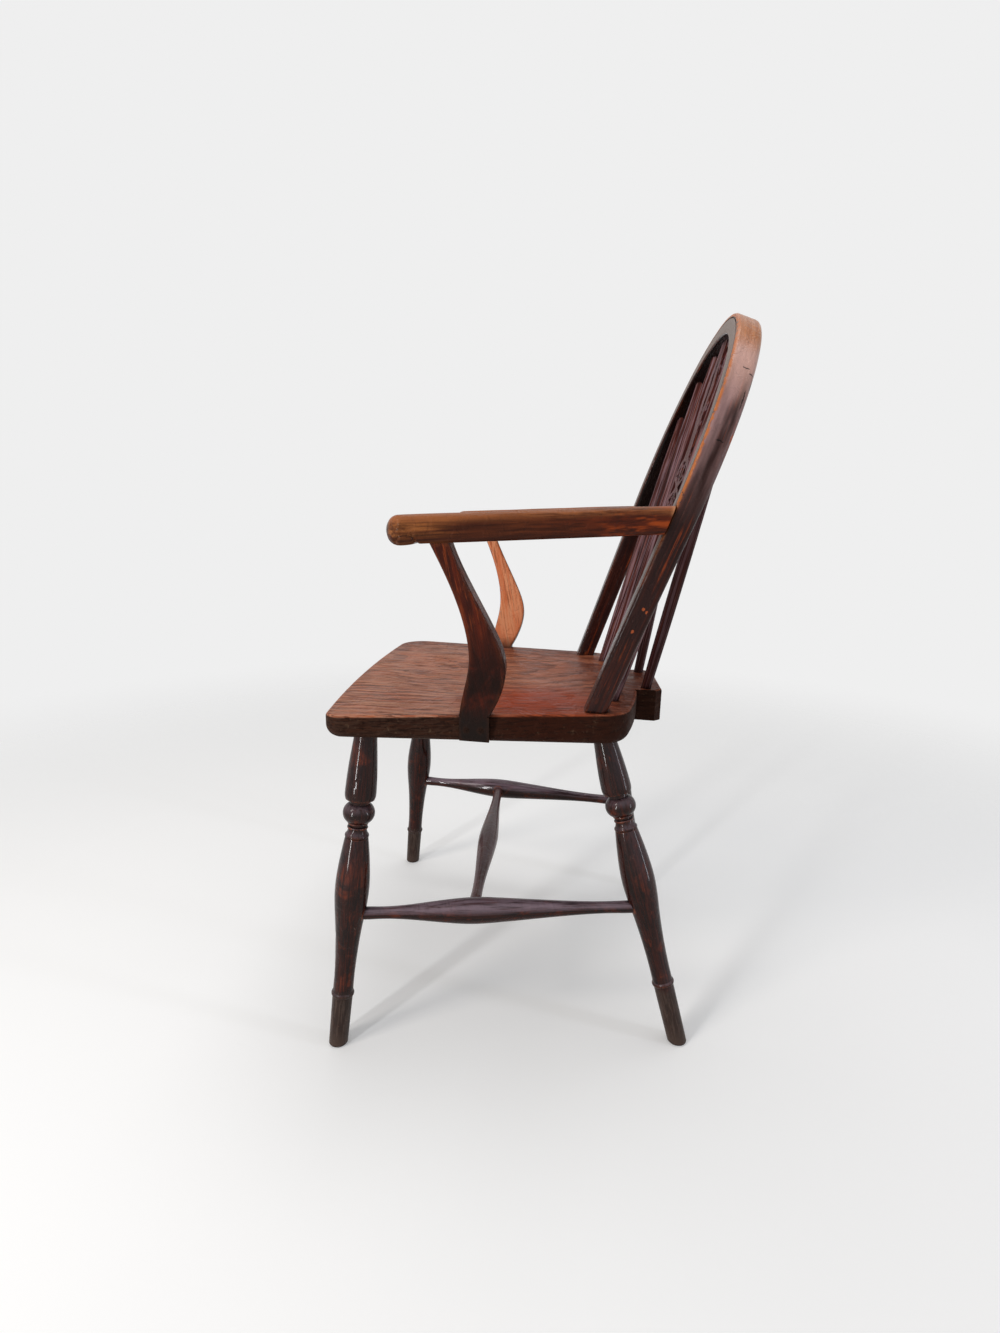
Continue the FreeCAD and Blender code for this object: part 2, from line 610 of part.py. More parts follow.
def arm_on_bow():
    """How far across and up the bow the arm's rear end meets it."""
    angle = bow_tangent()
    y = BOW_FRONT_Y + math.tan(math.radians(BOW_TILT)) * (ARM_UP - ARM_THICK / 2)
    up = (arm_top(y) - ARM_THICK / 2 - SEAT_TOP) / math.cos(math.radians(BOW_TILT))
    return BOW_CROWN_R / math.cos(angle) + (up - BOW_CROWN_UP) * -math.tan(angle), up


def arm_blank():
    rear = arm_on_bow()[0]
    sections = [rounded_section(y, rear + (hand_x() - rear) * share, width, ARM_THICK, ARM_CORNER_R,
                                arm_top(y) - ARM_THICK / 2) for y, share, width in ARM_PLAN]
    return Part.makeLoft(sections, True, False).common(arm_nose())


def behind_bow_face():
    block = Part.makeBox(2 * FAR, 2 * FAR, FAR, V(-FAR, -FAR, -FAR))
    block.Placement = BOW_PLANE
    return block


def arm_tenon(radius):
    """Into the bow's front face at the middle of the arm's end."""
    across, up = arm_on_bow()
    face, end = on_bow(across, up, -ARM_TENON_LENGTH), on_bow(across, up, ARM_TENON_LENGTH)
    return rod(face, end, radius)


def support_x():
    """The support's outer face at the seat's top."""
    return seat_side((SUPPORT_FRONT[0][0] + SUPPORT_BACK[0][0]) / 2) + SUPPORT_PROUD


def hand_x():
    angle = math.radians(SUPPORT_LEAN)
    top = support_x() + SUPPORT_FRONT[-1][1] * math.sin(angle) - SUPPORT_THICK / 2 * math.cos(angle)
    return top + HAND_OUT


def support_board(front, back, ends):
    """The sawn board, stood at its lean; ends are the heights of its foot and top."""
    x = support_x()
    low, high = ends
    edges = [line((x, front[0][0], low), (x, front[0][0], 0)), curve([(x, y, h) for y, h in front]),
             line((x, back[0][0], low), (x, back[0][0], 0)), curve([(x, y, h) for y, h in back]),
             line((x, front[0][0], low), (x, back[0][0], low)),
             line((x, front[-1][0], high), (x, back[-1][0], high))]
    return plate(edges, V(-SUPPORT_THICK, 0, 0))


def lean(shape):
    shape = shape.copy()
    shape.translate(V(0, 0, SEAT_TOP))
    shape.rotate(V(support_x(), 0, SEAT_TOP), V(0, 1, 0), SUPPORT_LEAN)
    return shape


def support_plank():
    return support_board(SUPPORT_FRONT, SUPPORT_BACK, (-2 * SEAT_BACK_THICK, SUPPORT_FRONT[-1][1]))


def support_notch():
    return lean(support_plank()).common(slab(0, SEAT_TOP + 0.01))


def support_tenon(radius):
    y = (SUPPORT_FRONT[-2][0] + SUPPORT_BACK[-2][0] + SUPPORT_FRONT[-1][0] + SUPPORT_BACK[-1][0]) / 4
    x = support_x() - SUPPORT_THICK / 2
    under = (ARM_UP - ARM_THICK + ARM_RISE * y) / math.cos(math.radians(SUPPORT_LEAN))
    drop = SUPPORT_THICK / 2 * math.tan(math.radians(SUPPORT_LEAN))
    return lean(rod(V(x, y, under - drop - SUPPORT_TENON_ROOT), V(x, y, under + drop + SUPPORT_TENON_LENGTH),
                    radius))


def support_solid(arm):
    board = support_plank()
    rounded = board.makeFillet(SUPPORT_ROUND, [e for e in board.Edges
                                               if e.BoundBox.ZLength > 60 and e.BoundBox.XLength < 0.01])
    upper = lean(rounded).common(slab(SEAT_TOP, 2 * FAR)).cut(above_underside(arm))
    foot = lean(board).common(slab(0, SEAT_TOP)).common(half_space(True, -SUPPORT_SHORT))
    return upper.fuse([foot, support_tenon(SUPPORT_TENON_R)]).removeSplitter()


def above_underside(arm):
    """The arm and everything over it, to trim a support's top."""
    lift = arm.copy()
    lift.translate(V(0, 0, ARM_THICK * 0.6))
    return arm.fuse(lift)


def support_pegs(radius=SUPPORT_PEG_R):
    middle = (SUPPORT_FRONT[0][0] + SUPPORT_BACK[0][0]) / 2
    x, h = support_x(), -seat_thick(middle) / 2
    return [lean(rod(V(x, y, h), V(x - SUPPORT_PEG_LENGTH, y, h), radius))
            for y in (middle - SUPPORT_PEG_GAP / 2, middle + SUPPORT_PEG_GAP / 2)]


# Build

def main():
    nodes = {}
    x = seat_side(-FRONT_TOP_Y) - FRONT_TOP_IN
    front = Leg(V(x + FRONT_SPLAY, -FRONT_FOOT_Y, 0), V(x, -FRONT_TOP_Y, under_seat(-FRONT_TOP_Y)),
                FRONT_ANKLE)
    x = seat_side(BACK_TOP_Y) - BACK_TOP_IN
    back = Leg(V(x + BACK_SPLAY, BACK_FOOT_Y, 0), V(x, BACK_TOP_Y, under_seat(BACK_TOP_Y)), BACK_ANKLE)
    side = Stretcher(front.at(FRONT_STRETCHER_AT), back.at(BACK_STRETCHER_AT), SIDE_END_R, SIDE_MID_R,
                     SWELL_SHARE)
    joint = side.at_share(SWELL_SHARE)
    cross = Stretcher(joint, V(-joint.x, joint.y, joint.z), CROSS_END_R, CROSS_MID_R, 0.5)
    sticks = [back_stick(a, b) for a, b in zip(STICK_FOOT_X, STICK_TOP_X)]
    stay = brace()
    splat = Splat()

    front_leg = front.solid().cut(side.sockets()[0])
    back_leg = back.solid().cut(side.sockets()[1])
    side_stretcher = side.solid().cut(cross.sockets()[0])
    arm = arm_blank().cut(behind_bow_face())
    support = support_solid(arm)
    socketed_arm = arm.cut(support_tenon(SUPPORT_TENON_R + FIT)).fuse(arm_tenon(ARM_TENON_R)).removeSplitter()
    support = support.cut(support_pegs())

    half_bow_cuts = [s.sockets()[1] for s in sticks] + [stay.sockets()[1], arm_tenon(ARM_TENON_R + FIT)]
    bow_cuts = half_bow_cuts + [mirrored(s) for s in half_bow_cuts] + [splat.bow_mortise()]
    tenon, wedge = bow_tenon(BOW_TENON_R).cut(bow_wedge()), bow_wedge()
    bow = bow_solid().cut(bow_cuts).fuse([tenon, mirrored(tenon)]).removeSplitter()

    half_seat_cuts = [front.socket(), back.socket(), bow_tenon(BOW_TENON_R + FIT, 5), support_notch(),
                      stay.sockets()[0]] + [s.sockets()[0] for s in sticks] + support_pegs()
    seat = seat_plank().fuse(seat_tail()).removeSplitter().cut(saddle())
    seat = seat.cut(half_seat_cuts + [mirrored(s) for s in half_seat_cuts] + [splat.seat_mortise()])

    nodes["seat"] = seat
    pairs = {"front_leg": front_leg, "back_leg": back_leg, "side_stretcher": side_stretcher,
             "arm": socketed_arm, "arm_support": support, "brace_stick": stay.solid()}
    pairs.update({"back_stick_%d" % (i + 1): s.solid() for i, s in enumerate(sticks)})
    for name, shape in pairs.items():
        nodes[name + "_left"] = shape
        nodes[name + "_right"] = mirrored(shape)
    nodes["cross_stretcher"] = cross.solid()
    nodes["bow"] = bow
    nodes["wheel_splat"] = splat.solid()
    nodes["bow_wedges"] = Part.makeCompound([wedge, mirrored(wedge)])
    pegs = support_pegs()
    nodes["support_pegs"] = Part.makeCompound(pegs + [mirrored(p) for p in pegs])

    reach = [p.y for name in ("seat", "bow") for p in nodes[name].tessellate(0.1)[0]]
    middle = (min(reach) + max(reach)) / 2
    os.makedirs("parts", exist_ok=True)
    for name, shape in nodes.items():
        shape.translate(V(0, -middle, 0))
        shape.exportStep("parts/%s.step" % name)
        print(name, len(shape.Solids), round(shape.Volume / 1000.0, 1), shape.isValid())
    print("moved", round(-middle, 3))


main()
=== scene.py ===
import json
import math

import bmesh
import bpy
import numpy as np
from bpy.props import FloatProperty, FloatVectorProperty, PointerProperty
from mathutils import Matrix, Vector, noise

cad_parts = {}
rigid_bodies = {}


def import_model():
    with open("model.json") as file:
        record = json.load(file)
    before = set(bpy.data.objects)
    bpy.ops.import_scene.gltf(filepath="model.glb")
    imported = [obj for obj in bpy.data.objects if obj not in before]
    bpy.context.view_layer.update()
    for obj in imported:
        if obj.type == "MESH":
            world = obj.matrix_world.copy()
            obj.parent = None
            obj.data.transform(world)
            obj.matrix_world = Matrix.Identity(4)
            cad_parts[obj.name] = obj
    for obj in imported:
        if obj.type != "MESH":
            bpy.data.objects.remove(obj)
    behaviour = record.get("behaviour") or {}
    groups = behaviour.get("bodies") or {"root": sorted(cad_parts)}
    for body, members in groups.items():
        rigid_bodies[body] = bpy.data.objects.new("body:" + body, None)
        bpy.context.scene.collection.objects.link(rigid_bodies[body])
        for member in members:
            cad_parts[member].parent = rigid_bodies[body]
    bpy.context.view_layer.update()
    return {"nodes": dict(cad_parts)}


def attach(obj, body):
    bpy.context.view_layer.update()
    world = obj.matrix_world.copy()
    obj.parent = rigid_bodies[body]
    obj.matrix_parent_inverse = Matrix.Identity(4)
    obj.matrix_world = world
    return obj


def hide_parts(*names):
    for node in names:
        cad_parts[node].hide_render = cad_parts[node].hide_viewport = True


bl_info = {
    "name": "Wheelback Armchair",
    "version": (1, 0, 0),
    "blender": (4, 5, 0),
    "location": "View3D > Sidebar > Chair",
    "description": "Dresses a wheelback armchair in old, waxed wood round its packed model",
    "category": "Add Mesh",
}

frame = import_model()
MM = 0.001


def linear(tone):
    """An sRGB hex colour as the linear one that Blender works in."""
    parts = [int(tone[i:i + 2], 16) / 255 for i in (1, 3, 5)]
    return tuple(c / 12.92 if c <= 0.04045 else ((c + 0.055) / 1.055) ** 2.4 for c in parts)


def shade(name, tone, about):
    return FloatVectorProperty(name=name, description=about, subtype="COLOR", size=3, min=0, max=1,
                               default=linear(tone))


def size(name, value, about):
    return FloatProperty(name=name, description=about, default=value * MM, min=0, subtype="DISTANCE",
                         unit="LENGTH", precision=4)


# What a user may change

class ChairSizes(bpy.types.PropertyGroup):
    fibre_width: size("Fibre width", 2.2, "Width of the fibre streaks in turned beech")
    fibre_length: size("Fibre length", 60, "Length of those streaks")
    ring_width: size("Ring width", 9.0, "Width of a year's growth where it shows on the elm seat")
    wear_reach: size("Wear reach", 5.0, "How far wear runs in from an edge")
    # this reach sets the painted shade in corners and joints, which also stands for the old polish and dirt there
    shade_and_grime_reach: size("Grime reach", 9.0, "How far old polish and dirt come out of a corner")
    scroll_depth: size("Scroll depth", 2.4, "Depth of the scroll cut under each hand")
    waver: size("Waver", 0.35, "How far the bow's hand-shaved faces wander")


class ChairColours(bpy.types.PropertyGroup):
    seat: shade("Seat", "#98573e", "Waxed elm in the open middle of the seat")
    # painted sheen: the pale tone of the painted reflection over the seat's front and middle
    seat_sheen: shade("Seat, rubbed", "#bb8a72", "Elm where it is rubbed pale")
    seat_edge: shade("Seat's edge", "#150d0a", "Old polish on the seat's edge")
    leg: shade("Legs", "#150806", "Dark stain on the turned legs")
    leg_worn: shade("Legs, worn", "#4a1d12", "Red-brown where that stain is thin")
    foot: shade("Feet", "#4a3a32", "Scuffed wood below the ankle ring")
    bow: shade("Bow", "#2b1513", "Stain on the bow's outside")
    bow_worn: shade("Bow, worn", "#bb6a33", "Bare ash along the bow's front arris")
    stick: shade("Sticks", "#261011", "Stain on the back sticks")
    # painted sheen: the pale grey-pink that the sticks' streaked sheen is painted in
    stick_sheen: shade("Sticks, bloomed", "#9a7a80", "Bloom in the wax of the sticks")
    arm: shade("Arms", "#4e2413", "Waxed arm")
    # wear and painted highlight: the pale tone along the arms' top arrises
    arm_wear_and_highlight: shade("Arms, rubbed", "#c08258", "Arm where hands have rubbed it")
    support: shade("Supports", "#3c150c", "Arm supports")
    floor: shade("Floor", "#efefef", "Floor and backdrop")


# Nodes

KINDS = {"ramp": ("ShaderNodeMapRange", {"interpolation_type": "SMOOTHSTEP"}),
         "times": ("ShaderNodeMath", {"operation": "MULTIPLY", "use_clamp": True}),
         "plus": ("ShaderNodeMath", {"operation": "ADD", "use_clamp": True}),
         "most": ("ShaderNodeMath", {"operation": "MAXIMUM"}),
         "dot": ("ShaderNodeVectorMath", {"operation": "DOT_PRODUCT"})}
ONE_NUMBER = ("DOT_PRODUCT", "LENGTH", "DISTANCE")      # vector sums whose answer is the output called Value
FACTOR, UNDER, OVER, MIXED = 0, 6, 7, 2                 # a Mix node's sockets for colours
OCCLUSION_SAMPLES = 6
WAX_IOR, WAX_COAT_ROUGHNESS = 1.46, 0.09
WAX_TINT = (1.0, 0.74, 0.64, 1)                         # old shellac and wax warm what they reflect


def add(tree, kind, *inputs, out=0, **settings):
    """Add a node with its settings; its inputs, in order or by name, are values or other nodes' outputs."""
    kind, usual = KINDS.get(kind, (kind, {}))
    node = tree.nodes.new(kind)
    for name, value in {**usual, **settings}.items():
        setattr(node, name, value)
    named = inputs[0] if inputs and isinstance(inputs[0], dict) else dict(enumerate(inputs))
    for socket, value in named.items():
        if isinstance(value, bpy.types.NodeSocket):
            tree.links.new(value, node.inputs[socket])
        else:
            node.inputs[socket].default_value = value
    if kind == "ShaderNodeVectorMath" and node.operation in ONE_NUMBER:
        out = "Value"
    return node.outputs[out] if out is not None else node


class Finish:
    """A wood's material, built up in layers as a finisher would: stain, wear, grime, wax, with painted shade and
    painted sheen laid in among them.
    """

    def __init__(self, name, stain):
        self.material = bpy.data.materials.new(name)
        self.material.use_nodes = True
        self.tree = self.material.node_tree
        self.tree.nodes.clear()
        self.tone = (*stain, 1)
        self.relief = []
        self.rough = []
        self.place = add(self.tree, "ShaderNodeTexCoord", out="Object")
        self.normal = add(self.tree, "ShaderNodeNewGeometry", out="Normal")
        self.grain = self.place

    def node(self, kind, *inputs, out=0, **settings):
        return add(self.tree, kind, *inputs, out=out, **settings)

    def lay_along(self, middle, direction):
        """Turn the grain so that it runs with the piece."""
        turn = direction.rotation_difference(Vector((0, 0, 1)))
        self.grain = self.node("ShaderNodeMapping", {"Vector": self.place, "Rotation": turn.to_euler(),
                                                     "Location": -(turn @ middle)})

    def streaks(self, width, length, seed=0.0, detail=4.0, low=0.36, high=0.66):
        """Fibres of that width and length, in metres; real ones are finer, and wouldn't show in a picture."""
        stretched = self.node("ShaderNodeVectorMath", {0: self.grain, 1: (1, 1, width / length),
                                                       2: (seed, seed * 0.7, seed * 1.3)}, operation="MULTIPLY_ADD")
        fibres = self.node("ShaderNodeTexNoise", {"Vector": stretched, "Scale": 1 / width, "Detail": detail,
                                                  "Roughness": 0.62})
        return self.node("ramp", fibres, low, high)

    def patches(self, across, seed=0.0, low=0.42, high=0.6, detail=3.0):
        """Cloudy patches of that size, in metres."""
        moved = self.node("ShaderNodeVectorMath", {0: self.place, 1: (seed, seed * 1.7, -seed)}, operation="ADD")
        cloud = self.node("ShaderNodeTexNoise", {"Vector": moved, "Scale": 1 / across, "Detail": detail,
                                                 "Roughness": 0.6, "Distortion": 0.6})
        return self.node("ramp", cloud, low, high)

    def edges(self, reach):
        """1 on arrises, which hands and cloths have rubbed."""
        bare = self.node("ShaderNodeAmbientOcclusion", {"Distance": reach}, out="AO", inside=True, only_local=True,
                         samples=OCCLUSION_SAMPLES)
        return self.node("ramp", bare, 0.93, 0.62)

    def corners(self, reach):
        """1 deep in joints and grooves, where shade falls and old polish gathers: the mask for painted shade with
        grime.
        """
        open_share = self.node("ShaderNodeAmbientOcclusion", {"Distance": reach}, out="AO",
                               samples=OCCLUSION_SAMPLES)
        return self.node("ramp", open_share, 0.8, 0.35)

    def band(self, value, start, full, fading, end):
        """1 where the value lies between full and fading, down to 0 at start and end."""
        return self.node("times", self.node("ramp", value, start, full), self.node("ramp", value, end, fading))

    def paint(self, mask, tone, amount):
        factor = self.node("times", mask, amount)
        self.tone = self.node("ShaderNodeMix", {FACTOR: factor, UNDER: self.tone, OVER: (*tone, 1)}, out=MIXED,
                              data_type="RGBA")

    def dull(self, mask, amount):
        self.rough.append(self.node("times", mask, amount))

    def press(self, height, depth):
        """Relief of that depth in metres; a negative one cuts in."""
        self.relief.append((height, depth))

    def wax(self, rough, specular, coat=0.0):
        """The finished material: its roughness, dulled where it is worn, and the gleam of the polish."""
        for part in self.rough:
            rough = self.node("plus", rough, part)
        normal = None
        for height, depth in self.relief:
            links = {"Height": height, "Distance": abs(depth), "Strength": 1.0}
            if normal:
                links["Normal"] = normal
            normal = self.node("ShaderNodeBump", links, invert=depth < 0)
        links = {"Base Color": self.tone, "Roughness": rough, "IOR": WAX_IOR, "Specular IOR Level": specular,
                 "Specular Tint": WAX_TINT, "Coat Weight": coat, "Coat Roughness": WAX_COAT_ROUGHNESS}
        if normal:
            links["Normal"] = normal
        skin = self.node("ShaderNodeBsdfPrincipled", links)
        self.node("ShaderNodeOutputMaterial", {"Surface": skin}, out=None)
        return self.material


def grain_of(piece):
    """Middle and longest direction of a piece, from its mesh."""
    points = np.array([v.co for v in piece.data.vertices])
    middle = (points.min(0) + points.max(0)) / 2
    direction = Vector(np.linalg.svd(points - points.mean(0), full_matrices=False)[2][0])
    if direction.dot(Vector((0.2, 0.4, 1))) < 0:
        direction.negate()
    return Vector(middle), direction


def chosen(context):
    return context.scene.chair_sizes, context.scene.chair_colours


def dress(piece, material):
    piece.data.materials.clear()
    piece.data.materials.append(material)


def names(stem):
    return [n for n in frame["nodes"] if n.startswith(stem)]


# Modelling

SMOOTH_BELOW = math.radians(32)


def deselect():
    if bpy.context.object and bpy.context.object.mode != "OBJECT":
        bpy.ops.object.mode_set(mode="OBJECT")
    bpy.ops.object.select_all(action="DESELECT")


def sweep(name, outlines):
    """Shape a circle to the first outline, then extrude it through the rest; all have as many points."""
    deselect()
    bpy.ops.mesh.primitive_circle_add(vertices=len(outlines[0]), radius=0.01, fill_type="NGON")
    piece = bpy.context.object
    piece.name = piece.data.name = name
    bpy.ops.object.mode_set(mode="EDIT")
    mesh = bmesh.from_edit_mesh(piece.data)
    mesh.verts.ensure_lookup_table()
    order = mesh.verts.layers.int.new("order")
    for i, vertex in enumerate(mesh.verts):
        vertex[order] = i
    for step, outline in enumerate(outlines):
        if step:
            bpy.ops.mesh.extrude_region_move()
            mesh = bmesh.from_edit_mesh(piece.data)
            order = mesh.verts.layers.int["order"]
        for vertex in mesh.verts:
            if vertex.select:
                vertex.co = outline[vertex[order]]
        bmesh.update_edit_mesh(piece.data)
    bpy.ops.mesh.select_all(action="SELECT")
    bpy.ops.mesh.normals_make_consistent(inside=False)
    bpy.ops.object.mode_set(mode="OBJECT")
    bpy.ops.object.shade_smooth_by_angle(angle=SMOOTH_BELOW)
    return piece


def seated(piece, slot, *nodes):
    """The piece stands for its CAD nodes and moves with the chair."""
    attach(piece, "root")
    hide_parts(*nodes)
    return piece


# Bow: a point across, up the bow from the seat, and back from its front face

BOW_TILT = math.radians(19)
BOW_FRONT_Y = 60.386 * MM
SEAT_TOP = 435 * MM
BOW_FOOT_HALF, CROWN_UP, CROWN_R = 167 * MM, 287.5 * MM, 204 * MM
BOW_HALF, WAVER_EVERY = 12.5 * MM, 60 * MM
FOOT_DEPTH, CROWN_DEPTH = 25 * MM, 31 * MM
LEG_STEPS, CROWN_STEPS = 14, 84
ROUND_OUTLINE = 40          # an outline clear of the feet, on which the way round the bow is measured
TENON_R, TENON_START, TENON_END = 9.5 * MM, 8 * MM, 396.5 * MM
# the way round the bow starts at its front inner corner
ARRIS = (22.6 * MM, 24.2 * MM, 27.5 * MM, 30.5 * MM)
OUTSIDE = (25 * MM, 29 * MM, 58 * MM, 62 * MM)
INSIDE = (62 * MM, 66 * MM)
# millimetres up the bow from its near foot and round it, and half lengths both ways
CRACKS = ((417.0, 45.0, 0.8, 4.5), (411.0, 53.0, 0.9, 4.0), (332.0, 44.0, 0.8, 5.0), (379.0, 52.0, 13.0, 0.8),
          (400.0, 57.0, 9.0, 0.9))
CHIPS = ((338.0, 57.0, 6.0, 3.5), (143.5, 42.0, 2.2, 2.0), (141.5, 47.5, 2.2, 2.0), (115.0, 41.0, 2.8, 2.2))


def on_bow(across, up, into):
    y = BOW_FRONT_Y + up * math.sin(BOW_TILT) + into * math.cos(BOW_TILT)
    return Vector((across, y, SEAT_TOP + up * math.cos(BOW_TILT) - into * math.sin(BOW_TILT)))


def bow_line():
    """The bow's middle line and outward directions, from the left foot over to the right one."""
    away = math.hypot(BOW_FOOT_HALF, CROWN_UP)
    angle = math.acos(CROWN_R / away) - math.atan2(CROWN_UP, BOW_FOOT_HALF)
    out = Vector((math.cos(angle), math.sin(angle)))
    down = Vector((math.sin(angle), -math.cos(angle)))
    touch = Vector((0, CROWN_UP)) + out * CROWN_R
    length = touch.y / -down.y
    leg = [(touch + down * length * (1 - i / LEG_STEPS), out) for i in range(LEG_STEPS)]
    crown = []
    for i in range(CROWN_STEPS + 1):
        turn = angle + (math.pi - 2 * angle) * i / CROWN_STEPS
        way = Vector((math.cos(turn), math.sin(turn)))
        crown.append((Vector((0, CROWN_UP)) + way * CROWN_R, way))
    other = [(Vector((-p.x, p.y)), Vector((-n.x, n.y))) for p, n in reversed(leg)]
    return leg + crown + other


def bow_section():
    """Points round the bow as (outward, share of the depth back, extra back), from the front inner corner."""
    h, front, back, inner = BOW_HALF, 3.5 * MM, 6.5 * MM, 2.5 * MM
    points = []

    def corner(cx, share, extra, r, start):
        for i in range(5):
            a = math.radians(start + 90 * i / 4)
            points.append((cx + r * math.cos(a), share, extra + r * math.sin(a)))

    bead, width, depth = h - 5.2 * MM, 1.6 * MM, 1.1 * MM
    corner(-h + inner, 0, inner, inner, 180)
    points.append((-h * 0.35, 0, 0))
    points.append((0, 0, 0))
    points.append((bead - width, 0, 0))
    points.append((bead - width * 0.75, 0, depth))
    points.append((bead - width * 0.25, 0, depth))
    points.append((bead, 0, 0))
    corner(h - front, 0, front, front, 270)
    for share in (0.3, 0.5, 0.7):
        points.append((h, share, 0))
    corner(h - back, 1, -back, back, 0)
    points.append((-h * 0.2, 1, 0))
    corner(-h + inner, 1, -inner, inner, 90)
    for share in (0.7, 0.5, 0.3):
        points.append((-h, share, 0))
    return points


class CHAIR_OT_bow(bpy.types.Operator):
    """Bend the bow from one length of ash, with its bead, worn arris and chipped back edge"""
    bl_idname = "chair.bow"
    bl_label = "Bow"

    def execute(self, context):
        sizes, tones = chosen(context)
        section = bow_section()
        outlines, lengths, run, last = [], [], 0.0, None
        for point, way in bow_line():
            run += (point - last).length if last else 0.0
            last = point
            depth = FOOT_DEPTH + (CROWN_DEPTH - FOOT_DEPTH) * point.y / (CROWN_UP + CROWN_R)
            outline = []
            for outward, share, extra in section:
                at = point + way * outward
                place = on_bow(at.x, max(at.y, 0.0), share * depth + extra)
                drift = noise.noise(place / WAVER_EVERY) * sizes.waver
                outline.append(place + Vector((way.x, 0, way.y)) * drift)
            outlines.append(outline)
            lengths.append(run)
        bow = sweep("bent_bow", outlines)
        self.unroll(bow, outlines, lengths)
        for side in (-1, 1):
            self.tenon(side, bow)
        seated(bow, "bow", "bow")
        dress(bow, self.finish(sizes, tones))
        return {"FINISHED"}

    def unroll(self, bow, outlines, lengths):
        """A UV map in metres: how far up the bow, and how far round it."""
        layer = bow.data.uv_layers.new(name="grain")
        outline = outlines[ROUND_OUTLINE]
        around = [0.0]
        for a, b in zip(outline, outline[1:]):
            around.append(around[-1] + (a - b).length)
        whole = around[-1] + (outline[-1] - outline[0]).length
        where = {}
        for length, outline in zip(lengths, outlines):
            for way, place in zip(around, outline):
                where[tuple(round(c, 5) for c in place)] = (length, way)
        for face in bow.data.polygons:
            places = [bow.data.vertices[bow.data.loops[k].vertex_index].co for k in face.loop_indices]
            spots = [where.get(tuple(round(c, 5) for c in place), (0, 0)) for place in places]
            wraps = max(s[1] for s in spots) - min(s[1] for s in spots) > whole / 2
            for k, spot in zip(face.loop_indices, spots):
                layer.data[k].uv = (spot[0], whole if wraps and spot[1] == 0.0 else spot[1])

    def marks(self, wood, uv, table):
        """1 on each ragged little oval of the table."""
        ragged = wood.node("ShaderNodeTexNoise", {"Vector": uv, "Scale": 260, "Detail": 2}, out="Color")
        shift = 2.4
        shifted = wood.node("ShaderNodeVectorMath", ragged, (shift * MM, shift * MM, 0), uv,
                            operation="MULTIPLY_ADD")
        whole = 0.0
        for run, around, half_run, half_around in table:
            middle = ((run + shift / 2) * MM, (around + shift / 2) * MM, 0)
            off = wood.node("ShaderNodeVectorMath", shifted, middle, operation="SUBTRACT")
            scaled = wood.node("ShaderNodeVectorMath", off, (half_run * MM, half_around * MM, 1), operation="DIVIDE")
            away = wood.node("ShaderNodeVectorMath", scaled, operation="LENGTH")
            whole = wood.node("most", whole, wood.node("ramp", away, 1.1, 0.6))
        return whole

    def tenon(self, side, bow):
        """The round end that goes down through the seat to its underside."""
        foot, higher = (point for point, way in bow_line()[:2])
        run = (on_bow(*(higher - foot), 0) - on_bow(0, 0, 0)).normalized()
        start = on_bow(*foot, FOOT_DEPTH / 2) + run * TENON_START
        end = start - run * ((start.z - TENON_END) / run.z)
        middle = (start + end) / 2
        run.x *= side
        deselect()
        bpy.ops.mesh.primitive_cylinder_add(vertices=48, radius=TENON_R, depth=(start - end).length,
                                            location=(middle.x * side, middle.y, middle.z),
                                            rotation=run.to_track_quat("Z", "Y").to_euler())
        bow.select_set(True)
        bpy.context.view_layer.objects.active = bow
        bpy.ops.object.join()

    def finish(self, sizes, tones):
        """Ash, steamed and bent: fibres follow the curve, dark stain rubbed back to bare wood on the front arris."""
        wood = Finish("bent_ash", tones.bow)
        uv = wood.node("ShaderNodeUVMap", uv_map="grain")
        run = wood.node("ShaderNodeSeparateXYZ", uv, out="X")
        around = wood.node("ShaderNodeSeparateXYZ", uv, out="Y")
        wood.grain = wood.node("ShaderNodeCombineXYZ", {0: around, 2: run})
        back = Vector((0, math.cos(BOW_TILT), -math.sin(BOW_TILT)))
        up = Vector((0, math.sin(BOW_TILT), math.cos(BOW_TILT)))
        above_seat = wood.node("ShaderNodeVectorMath", wood.place, on_bow(0, 0, 0), operation="SUBTRACT")
        height = wood.node("dot", above_seat, up)
        fine = wood.streaks(2.4 * MM, 90 * MM, 0.3)
        broad = wood.streaks(6 * MM, 150 * MM, 1.7, 3.0, 0.45, 0.65)
        front = wood.node("ramp", wood.node("dot", wood.normal, -back), 0.8, 0.97)
        outside = wood.band(around, *OUTSIDE)
        wood.paint(broad, linear("#4c1d10"), 0.6)
        wood.paint(fine, linear("#120706"), 0.55)
        rust = wood.node("times", wood.streaks(3 * MM, 70 * MM, 6.4, 4.0, 0.55, 0.7),
                         wood.patches(70 * MM, 1.1, 0.45, 0.6))
        wood.paint(rust, linear("#8a3a16"), 0.7)
